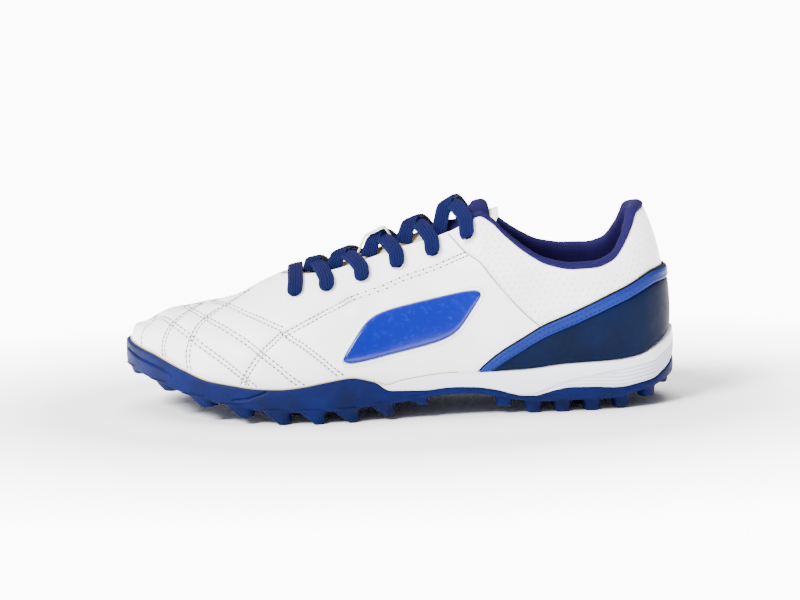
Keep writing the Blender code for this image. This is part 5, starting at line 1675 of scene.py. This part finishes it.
@dataclass
class HeelCounter:
    """Navy overlay round the heel, and the light band with its stitches along its slanted upper edge."""

    leather: Material
    band: Material
    # edge is the dark of the painted shadow strip above the band
    edge: Material
    thread: Material
    thickness: float = 0.0012
    band_width: float = 0.0056

    def line(self, angle: Array, drop: float) -> Array:
        """Height of the band's upper line, less a drop square to its slope."""
        start = float(LAST.bite(0.0))
        return start + COUNTER_CURVE.at(angle) * (LAST.vamp_height - start) - drop * 1.1

    def last_angle(self, low: Callable[[Array], Array], high: Callable[[Array], Array]) -> float:
        """The angle at which an overlay between two lines runs out on the sole's edge."""
        fine = np.linspace(0.2, 2.2, 4001)
        short = high(fine) - np.maximum(low(fine), LAST.bite(fine) + LAST.gap) < 0.0003
        return float(fine[np.argmax(short)])

    def overlay(self, name: str, low: Callable[[Array], Array], high: Callable[[Array], Array], rows: int,
                thickness: float, crown: float) -> Piece:
        """A thin overlay between two height lines: it lies on the last's surface, its face lifted by the
        thickness times a rounded profile, 1 less the eighth power of the way across it, plus a low crown."""
        angle = even_angles(190, self.last_angle(low, high))
        foot = np.maximum(low(angle), LAST.bite(angle) + LAST.gap)
        top = np.maximum(high(angle), foot + 0.00005)
        share = np.linspace(0.0, 1.0, rows)[:, None]
        levels = LAST.row_at_height(angle[None], foot + (top - foot) * share)
        across = 2.0 * share - 1.0
        body = (1.0 - np.abs(across) ** 10) ** 0.5 * thickness + crown * (1.0 - across ** 2)
        over = LAST.lifted(angle[None], levels, body + 0.00025 + 0.0 * angle)
        under = LAST.lifted(angle[None], levels, np.full(levels.shape, 0.00005))
        sections = np.swapaxes(np.concatenate([over, under[::-1]]), 0, 1)
        return strip_piece(name, sections)

    def build(self) -> None:
        """Make the overlay, its band, the dark strip of painted shadow above it and the band's two rows of
        stitches.
        """
        counter = self.overlay(
            "heel_counter_overlay", LAST.bite, lambda a: self.line(a, self.band_width - 0.0007), 40,
            self.thickness, 0.0002,
        )
        put(counter, "heel_counter", self.leather, "heel_counter")
        band = self.overlay(
            "counter_trim_band", lambda a: self.line(a, self.band_width), lambda a: self.line(a, 0.0), 16,
            self.thickness + 0.0004, 0.0002,
        )
        put(band, "counter_trim", self.band, "counter_trim")
        # a thin dark strip over the band's top edge: painted shadow of the gap there
        dark = self.overlay(
            "counter_trim_gap_shadow", lambda a: self.line(a, 0.0), lambda a: self.line(a, -0.0008), 5, 0.0005, 0.0,
        )
        put(dark, "counter_trim", self.edge)
        self.stitch()

    def stitch(self) -> None:
        """Two rows of short stitches along the band, each a set way in from an edge."""
        middles, ways, ups = [], [], []
        end = self.last_angle(lambda a: self.line(a, self.band_width), lambda a: self.line(a, 0.0)) - 0.04
        angle = np.linspace(-end, end, 500)
        for drop in (0.0016, 0.0040):
            v = LAST.row_at_height(angle, self.line(angle, drop))
            points, normals = skin_line(angle, v, self.thickness + 0.00072)
            spots, share = even_path(points, 0.0026)
            middles.append(spots)
            ways.append(read_along(share, unit(np.gradient(points, axis=0))))
            ups.append(unit(read_along(share, normals)))
        piece = beads(
            "counter_trim_thread", np.concatenate(middles), np.concatenate(ways), np.concatenate(ups),
            (0.00100, 0.00038, 0.00030),
        )
        put(piece, "counter_trim", self.thread)


@dataclass
class SidePanel:
    """A raised slanted panel with round corners, pressed onto the side of the upper."""

    side: Side
    film: Material
    border: Material
    along: float = 0.478
    centre_share: float = 0.40
    slant: float = 0.80
    tilt: float = 0.20
    length: float = 0.060
    height: float = 0.022
    thickness: float = 0.0013
    exponent: float = 5.0

    def places(self, radius: Array, turn: Array, grow: float) -> tuple[Array, Array]:
        """Angles and levels of a rounded slanted shape: a superellipse of the panel's size, then sheared."""
        cos, sin = np.cos(turn), np.sin(turn)
        power = self.exponent
        reach = radius / (np.abs(cos) ** power + np.abs(sin) ** power) ** (1.0 / power)
        up = reach * sin * (self.height / 2.0 + grow)
        run = reach * cos * (self.length / 2.0 + grow) - self.slant * up
        centre = self.side.value * float(angle_at(self.along))
        foot, top = float(LAST.bite(centre)), float(LAST.edge_height(centre))
        z = foot + self.centre_share * (top - foot) + up - self.tilt * run
        angle = self.side.value * angle_at(self.along + run / LAST.length)
        return angle, LAST.row_at_height(angle, z)

    def build(self) -> None:
        """Make the panel's face with a rolled edge, and the pressed border round it."""
        turn = full_turn(220)[None]
        radius = np.concatenate([np.linspace(0.0, 0.86, 26), np.linspace(0.88, 1.0, 12)])[:, None]
        angle, v = self.places(radius, turn, 0.0)
        body = self.thickness * (1.0 - radius ** 22) ** 0.5 + 0.0006 + 0.0004 * (1.0 - radius ** 2)
        over = LAST.lifted(angle, v, body + 0.0 * turn)
        angle_under, v_under = self.places(radius[::-1], turn, 0.0)
        under = LAST.lifted(angle_under, v_under, np.full(v_under.shape, 0.0004))
        name = f"side_panel_{self.side.name.lower()}"
        piece = grid_piece(f"{name}_film", np.concatenate([over, under]), close_across=True)
        put(piece, "side_panel", self.film, name)
        ring = full_turn(12)
        angle, v = self.places(np.ones((1, 1)), turn, 0.0008)
        middle = LAST.lifted(angle, v, np.full(v.shape, 0.0004))[0]
        out = LAST.normal(angle, v)[0]
        side_way = unit(np.cross(out, np.roll(middle, -1, axis=0) - np.roll(middle, 1, axis=0)))
        bead = 0.0007 * (np.cos(ring)[:, None, None] * side_way + np.sin(ring)[:, None, None] * out * 0.75)
        piece = grid_piece(f"{name}_border", middle[None] + bead, close_rows=True, close_across=True)
        put(piece, "side_panel", self.border)


@dataclass
class Tongue:
    """Padded cream tongue under the throat, its end white and rounded past the collar, with a keeper."""

    leather: Material
    mesh: Material
    cloth: Material
    webbing: Material
    toe_end: float = 0.745
    top_end: float = 0.362
    half_width: float = 0.024
    thickness: float = 0.0045
    past: float = 0.013
    pad_front: float = 0.455
    pad_step: float = 0.392
    pad_swells: Pair = (0.0034, 0.0030)
    pad_past: float = 0.0085
    keeper_size: tuple[float, float, float] = (0.021, 0.0075, 0.0010)
    keeper_rise: float = 0.0062

    def section(self, angle: Array, width: Array, thick: Array, run: Array, rise: Array) -> Array:
        """Closed sections: the outer face follows the throat's arch, the inner lies a thickness under it."""
        share = np.sin(np.linspace(-1.0, 1.0, 41) * math.pi / 2.0)[:, None]
        half = TONGUE_CURVE.at(angle) * self.half_width * width
        y = share * half
        z = LAST.tongue_top(angle, np.abs(y)) + rise
        x = np.broadcast_to(LAST.sole_edge(angle)[0] + run, y.shape)
        top = np.stack([x, LAST.middle(angle) + y, z], axis=-1)
        slope = np.gradient(top, axis=0)
        size = np.hypot(slope[..., 1], slope[..., 2])
        deep = thick * np.sqrt(np.clip(1.0 - np.abs(share) ** 4, 0.0, 1.0))
        under = top.copy()
        under[..., 1] += deep * slope[..., 2] / size
        under[..., 2] -= deep * slope[..., 1] / size
        return np.swapaxes(np.concatenate([top, under[::-1][1:-1]]), 0, 1)

    def build(self) -> None:
        """Make the tongue's cloth pad, its leather cap, the knitted pad and face at its end, the keeper."""
        low, high = float(angle_at(self.top_end)), float(angle_at(self.toe_end))
        angle = np.linspace(high, low, 110)
        thin = 0.35 + 0.65 * ease((self.toe_end - along_at(angle)) / 0.10)
        nothing = np.zeros(len(angle))
        body = self.section(angle, np.ones(len(angle)), thin * self.thickness, nothing, nothing)
        share = np.linspace(0.0, 1.0, 26)[1:]
        width = np.interp(share, (0.0, 0.45, 0.80, 1.0), (1.0, 0.95, 0.82, 0.50))
        run = share * self.past
        fixed = np.full(len(share), low)
        tip = self.section(fixed, width, self.thickness * (1.0 - 0.45 * share ** 3), run, 0.22 * run)
        piece = put(strip_piece("tongue_pad", body), "tongue", self.mesh, "tongue")
        put(strip_piece("tongue_cap", np.concatenate([body[-3:], tip])), "tongue", self.leather)
        self.add_lining(tip)
        self.add_pillow()
        self.add_keeper()

    def add_pillow(self) -> None:
        """The knitted pad on the tongue's top end, under the last crossing: it swells in two steps along the
        tongue and rounds down over its tip. Its height is each section's own times a rounded profile across.
        """
        low = float(angle_at(self.top_end))
        angle = np.concatenate([np.linspace(float(angle_at(self.pad_front)), low, 40), np.full(16, low)])
        past = np.concatenate([np.zeros(40), np.linspace(0.0, 1.0, 17)[1:]])
        along = along_at(angle)
        first, second = self.pad_swells
        swell = first * ease((self.pad_front - along) / 0.05) + second * ease((self.pad_step - along) / 0.03)
        swell = (swell + 0.0008 * past) * np.sqrt(np.clip(1.0 - past ** 3, 0.0, 1.0))
        share = np.sin(np.linspace(-1.0, 1.0, 41) * math.pi / 2.0)[:, None]
        half = TONGUE_CURVE.at(angle) * self.half_width * (0.86 - 0.16 * past)
        run = past * self.pad_past
        y = share * half
        base = LAST.tongue_top(angle, np.abs(y)) + 0.22 * run
        x = np.broadcast_to(LAST.sole_edge(angle)[0] + run, y.shape)
        top = base + swell * np.sqrt(1.0 - np.abs(share) ** 3)
        over, under = (np.stack([x, LAST.middle(angle) + y, z], axis=-1) for z in (top, base - 0.0010))
        sections = np.swapaxes(np.concatenate([over, under[::-1][1:-1]]), 0, 1)
        put(strip_piece("tongue_knitted_pad", sections), "tongue", self.cloth)

    def add_lining(self, tip: Array) -> None:
        """The knitted face on the inside of the tongue's top: its lower half, a little proud."""
        half = tip.shape[1] // 2
        face = tip[:, half + 2:-2]
        below = face - np.array([0.0, 0.0, 0.0007])
        above = face + np.array([0.0, 0.0, 0.0002])
        sections = np.concatenate([above, below[:, ::-1]], axis=1)
        put(strip_piece("tongue_lining", sections), "collar", self.cloth)

    def add_keeper(self) -> None:
        """The white strap that arches over the third crossing, sewn down at both its ends."""
        count = 60
        length, width, thickness = self.keeper_size
        t, none = np.linspace(0.0, 1.0, count), np.zeros(count)
        centre = (EYELETS[2] + EYELETS[3]) / 2.0 + 0.008
        angle = angle_at(centre + (0.5 - t) * length / LAST.length)
        low = LAST.tongue_top(angle, none) + 0.0007
        high = LAST.over_throat(-angle, none, none) + self.keeper_rise
        arch = ease(np.minimum(t, 1.0 - t) / 0.30)
        path = np.stack([LAST.sole_edge(angle)[0], LAST.middle(angle), low + arch * (high - low)], axis=-1)
        ways = np.tile(np.array([0.0, 1.0, 0.0]), (count, 1))
        sections = ribbon_sections(path, ways, np.full(count, width), np.full(count, thickness), 5, 0.0)
        put(strip_piece("tongue_keeper", sections), "tongue_loop", self.webbing, "tongue_loop")


def ribbon_sections(path: Array, ways: Array, width: Array, thickness: Array, ribs: int, rib: float) -> Array:
    """Closed sections of a flat strip: a rounded bar with lengthwise ribs as a sine across each face.

    Args:
        path: the strip's middle.
        ways: the direction of its width at each point.
        width: its width at each point.
        thickness: its thickness at each point.
        ribs: how many ribs lie across a face.
        rib: the ribs' height.

    Returns:
        The sections, 96 places round each.
    """
    forward = unit(np.gradient(path, axis=0))
    up = unit(np.cross(ways, forward))
    up = np.where(up[:, 2:3] < 0.0, -up, up)
    across = np.cross(forward, up)
    turn = full_turn(96)
    cos, sin = np.cos(turn), np.sin(turn)
    wide = np.sign(cos) * np.abs(cos) ** 0.62
    tall = np.sign(sin) * np.abs(sin) ** 0.62
    ridge = rib * np.cos(wide * math.pi * ribs) * np.sign(sin) * np.clip(1.1 - np.abs(wide), 0.0, 1.0) ** 0.3
    side_part = wide[None, :, None] * (width[:, None] / 2.0)[..., None] * across[:, None]
    top_part = (tall[None] * thickness[:, None] / 2.0 + ridge[None])[..., None] * up[:, None]
    return path[:, None] + side_part + top_part


@dataclass
class Laces:
    """The flat lace: a straight bar over the first eyelets, then five crossings, led into the eyelets."""

    tape: Material
    width: float = 0.0079
    thickness: float = 0.0020
    lift: float = 0.0020
    rib: float = 0.00026
    cross_rise: float = 0.0019
    start_inset: float = 0.0052
    places: int = 15
    samples: int = 96

    def way_along(self, angle: Array, y: Array) -> Array:
        """Direction up along the throat's surface towards the collar, at a distance from the middle line."""
        reach = 0.0125
        toeward = np.where(y < 0.0, -1.0, 1.0) * (np.abs(angle) + reach)
        heelward = np.where(y < 0.0, -1.0, 1.0) * (np.abs(angle) - reach)
        none = np.zeros(len(angle))
        run = LAST.sole_edge(heelward)[0] - LAST.sole_edge(toeward)[0]
        rise = LAST.over_throat(heelward, np.abs(y), none) - LAST.over_throat(toeward, np.abs(y), none)
        return unit(np.stack([run, none, rise], axis=-1))

    def into_eyelet(self, path: Array, row: int, side: Side) -> Array:
        """Carry a path on over its eyelet and down into it, along the surface's inward direction."""
        hole, out = LAST.eyelet(row, side)
        way = unit(path[-1] - path[-2])
        turned = [
            hole + out * 0.0020,
            hole + out * 0.0015 + way * 0.0017,
            hole + out * 0.0003 + way * 0.0032,
        ]
        return np.concatenate([path[:-1], np.stack(turned)])

    def strand(self, start_row: int, end_row: int, side: Side) -> Array:
        """Path of one strand: from beside the throat's edge over the tongue and far edge to its eyelet."""
        sign = side.value
        t = np.linspace(0.0, 1.0, self.places)
        first = 0.50 if start_row == 0 else 0.22
        start, end = EYELETS[start_row], EYELETS[end_row]
        angle = angle_at(start + (end - start) * (first + (1.0 - first) * t))
        start_angle = angle_at(np.array([start]))
        half = float((LAST.edge_share(start_angle) * LAST.foot_half(start_angle))[0]) - self.start_inset
        hole, _ = LAST.eyelet(end_row, side)
        end_half = abs(hole[1] - float(LAST.middle(angle_at(end))))
        y = -half + t * (end_half + half)
        raised = np.full(self.places, -self.lift)
        over = LAST.over_throat(np.where(y * sign < 0.0, -angle, angle), np.abs(y), raised)
        tilt = np.maximum(LAST.normal(-angle, np.ones(self.places))[:, 2], 0.25)
        on_tongue = LAST.tongue_top(angle, np.abs(y)) + self.lift / tilt
        on_top = side is Side.INNER
        climb = ease((y + half) / (half * (0.6 if on_top else 1.0)))
        z = on_tongue + climb * (over - on_tongue)
        z = z + (self.cross_rise * bell(y + 0.0025, 0.0095) if on_top else -0.0007 * bell(y, 0.0085))
        path = np.stack([LAST.sole_edge(angle)[0], LAST.middle(angle) + sign * y, z], axis=-1)
        for _ in range(2):
            path[1:-1] = (path[:-2] + 2.0 * path[1:-1] + path[2:]) / 4.0
        under = path[0] + (path[0] - path[1]) * 0.8 - np.array([0.0, 0.0, 0.0012])
        return self.into_eyelet(np.concatenate([[under], path]), end_row, side)

    def bar(self) -> Array:
        """Path of the straight bar, from one of the first eyelets over the top to the other."""
        angle = np.full(self.places, float(angle_at(EYELETS[0])))
        hole, _ = LAST.eyelet(0, Side.INNER)
        half = abs(hole[1] - float(LAST.middle(angle[0])))
        y = half * np.linspace(-1.0, 1.0, self.places)
        raised = np.full(self.places, -self.lift)
        z = LAST.over_throat(np.where(y < 0.0, -angle, angle), np.abs(y), raised)
        path = np.stack([LAST.sole_edge(angle)[0], LAST.middle(angle) + y, z], axis=-1)
        path = self.into_eyelet(path, 0, Side.INNER)
        return self.into_eyelet(path[::-1], 0, Side.OUTER)[::-1]

    def tape_piece(self, name: str, path: Array, ends: tuple[bool, bool]) -> Piece:
        """A ribbed ribbon on a smooth curve through a path, drawn narrower and thicker into an eyelet."""
        fine = smooth_path(path, self.samples)
        gone = gone_along(fine)
        rest = np.full(self.samples, 1.0)
        if ends[0]:
            rest = np.minimum(rest, gone)
        if ends[1]:
            rest = np.minimum(rest, gone[-1] - gone)
        tip = np.sqrt(1.0 - (1.0 - np.clip(rest / (self.width / 2.0), 0.0, 1.0)) ** 2)
        angle = angle_at(np.clip(0.5 - fine[:, 0] / LAST.length, 0.0, 1.0))
        middle = LAST.middle(angle)
        ways = self.way_along(angle, fine[:, 1] - middle)
        width = self.width * np.maximum(tip, 0.02)
        thickness = self.thickness * (0.45 + 0.55 * tip)
        sections = ribbon_sections(fine, ways, width, thickness, 6, self.rib)
        return strip_piece(name, sections)

    def build(self) -> None:
        """Make the bar and the five crossings, each of two strands."""
        put(self.tape_piece("lace_bar_tape", self.bar(), (True, True)), "laces", self.tape, "lace_bar")
        for row in range(len(EYELETS) - 1):
            for side in Side:
                name = f"lace_cross_{row + 1}"
                path = self.strand(row, row + 1, side)
                piece = self.tape_piece(f"{name}_{side.name.lower()}", path, (False, True))
                put(piece, "laces", self.tape, *([name] if side is Side.INNER else []))


@dataclass(frozen=True)
class Studio:
    """Plain pale floor, soft lights, and a camera at the photo's angle."""

    azimuth: float = -1.395
    elevation: float = 9.526
    roll: float = -1.357
    focal_px: float = 2886.4
    centre_px: tuple[float, float] = (398.2, 308.5)
    frame_px: tuple[int, int] = (800, 600)
    distance: float = 1.5
    aim_height: float = 0.05
    sky: float = 0.95
    glow: float = 8.0
    glow_axes: tuple[float, float, float] = (0.22, 0.14, 1.0)

    def make_camera(self) -> None:
        """Set the camera: turned by azimuth, elevation and roll about a point over the floor's middle."""
        azimuth, elevation, roll = (math.radians(d) for d in (self.azimuth, self.elevation, self.roll))
        flat = math.cos(elevation)
        back = Vector((math.sin(azimuth) * flat, -math.cos(azimuth) * flat, math.sin(elevation)))
        right = Vector((math.cos(azimuth), math.sin(azimuth), 0.0))
        up = back.cross(right)
        turned_right = right * math.cos(roll) + up * math.sin(roll)
        turned_up = up * math.cos(roll) - right * math.sin(roll)
        data = bpy.data.cameras.new("camera")
        data.sensor_width = 36.0
        data.lens = 36.0 * self.focal_px / self.frame_px[0]
        data.shift_x = (self.frame_px[0] / 2.0 - self.centre_px[0]) / self.frame_px[0]
        data.shift_y = (self.centre_px[1] - self.frame_px[1] / 2.0) / self.frame_px[0]
        camera = bpy.data.objects.new("camera", data)
        turn = Matrix((turned_right, turned_up, back)).transposed().to_4x4()
        place = Vector((0.0, 0.0, self.aim_height)) + back * self.distance
        camera.matrix_world = Matrix.Translation(place) @ turn
        bpy.context.scene.collection.objects.link(camera)
        bpy.context.scene.camera = camera

    def make_floor(self) -> None:
        """A white table that glows by its own emission at a distance from the shoe, a painted light that
        makes the background white, with no glow where the shadow falls.

        The glow rises by an eased range of the distance from the middle, which a flat ellipse's axes divide.
        """
        material, tree, shader = blank_material("white table painted glow")
        shader.inputs["Base Color"].default_value = linear("#fdfdfd")
        shader.inputs["Roughness"].default_value = 0.9
        place = add_node(tree, "ShaderNodeTexCoord", {}, {}).outputs["Object"]
        ratio = add_node(tree, "ShaderNodeVectorMath", {"operation": "DIVIDE"}, {0: place, 1: self.glow_axes})
        reach = add_node(tree, "ShaderNodeVectorMath", {"operation": "LENGTH"}, {0: ratio.outputs["Vector"]})
        share = shape_range(tree, reach.outputs["Value"], 0.8, 2.0)
        # The floor's emission is painted light: a glow, not a lamp.
        tree.links.new(math_node(tree, "MULTIPLY", share, self.glow), shader.inputs["Emission Strength"])
        shader.inputs["Emission Color"].default_value = (1.0, 1.0, 1.0, 1.0)
        side = 6.0
        corners = np.array([(-side, -side, 0.0), (side, -side, 0.0), (side, side, 0.0), (-side, side, 0.0)])
        floor = build_piece("floor", corners, np.array([[0, 1, 2, 3]]))
        floor.data.materials.append(material)

    def make_sky(self) -> None:
        """White walls all round, dim on the heel's side: the strength falls along +X."""
        world = bpy.data.worlds.new("studio")
        world.use_nodes = True
        tree = world.node_tree
        way = add_node(tree, "ShaderNodeTexCoord", {}, {}).outputs["Generated"]
        parts = add_node(tree, "ShaderNodeSeparateXYZ", {}, {"Vector": way})
        heelward = shape_range(tree, parts.outputs["X"], -0.3, 0.7)
        share = math_node(tree, "SUBTRACT", 1.0, math_node(tree, "MULTIPLY", heelward, 0.85))
        shader = tree.nodes["Background"]
        shader.inputs["Color"].default_value = (1.0, 1.0, 1.0, 1.0)
        tree.links.new(math_node(tree, "MULTIPLY", share, self.sky), shader.inputs["Strength"])
        bpy.context.scene.world = world

    def make_sun(self, name: str, place: tuple[float, float, float], strength: float, angle: float) -> None:
        """A distant soft light that shines from a place towards the shoe."""
        data = bpy.data.lights.new(name, "SUN")
        data.energy, data.angle = strength, math.radians(angle)
        light = bpy.data.objects.new(name, data)
        light.rotation_euler = Vector(place).to_track_quat("Z", "Y").to_euler()
        bpy.context.scene.collection.objects.link(light)

    def build(self) -> None:
        """Make the floor, the lights, the sky and the camera."""
        self.make_floor()
        self.make_sky()
        self.make_sun("key from the front left", (-0.85, -0.75, 1.0), 8.5, 20.0)
        self.make_sun("overhead soft", (-0.1, 0.35, 1.0), 4.0, 60.0)
        self.make_camera()


def main() -> None:
    """Build the shoe's pieces in order, dress them, and build the studio."""
    logging.basicConfig(level=logging.INFO, format="%(name)s: %(message)s")
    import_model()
    LOG.info("frame loaded")
    leather = CoatedLeather(pinhole_mm=3.9).build()
    white_thread = SewingThread("sewing thread white", "#d4d4d0").build()
    knit = KnittedCloth().build()
    sole = Sole(MouldedRubber().build(), PressedFoam().build(), knit)
    sole.build()
    LOG.info("sole built")
    seams = Seams(white_thread, SewingThread("needle hole shadow", "#3c3c40", 0.9).build())
    Upper(
        leather,
        seams,
        SewingThread("painted step shadow grey", "#8c8c8a", 0.8).build(),
        SewingThread("dried glue cream", "#b7a67c", 0.5).build(),
    ).build()
    LOG.info("upper built")
    Collar(knit).build()
    LOG.info("collar built")
    HeelCounter(
        CoatedLeather("coated leather navy", "#030f2c", "#020a20", roughness=0.58, gloss=0.06).build(),
        CoatedLeather("band light blue", "#10246f", "#0c1c5c", 0.7, roughness=0.50, gloss=0.10).build(),
        SewingThread("painted gap shadow brown", "#120b08", 0.8).build(),
        SewingThread("sewing thread blue", "#0a1850").build(),
    ).build()
    film, border = GlossyFilm().build(), CoatedLeather("pressed border white").build()
    for side in Side:
        SidePanel(side, film, border).build()
    Tongue(
        CoatedLeather("tongue leather white", "#efeeea", "#e4e2dc").build(),
        CoatedLeather("tongue cloth cream", "#d6cba8", "#bfb28c", 1.2, roughness=0.8, gloss=0.1).build(),
        knit,
        WovenTape("keeper webbing white", "#e6e5df", "#bdbcb4", yarn_mm=1.1).build(),
    ).build()
    Laces(WovenTape().build()).build()
    LOG.info("laces built")
    Studio().build()
    LOG.info("stage built")


if __name__ == "__main__":
    main()
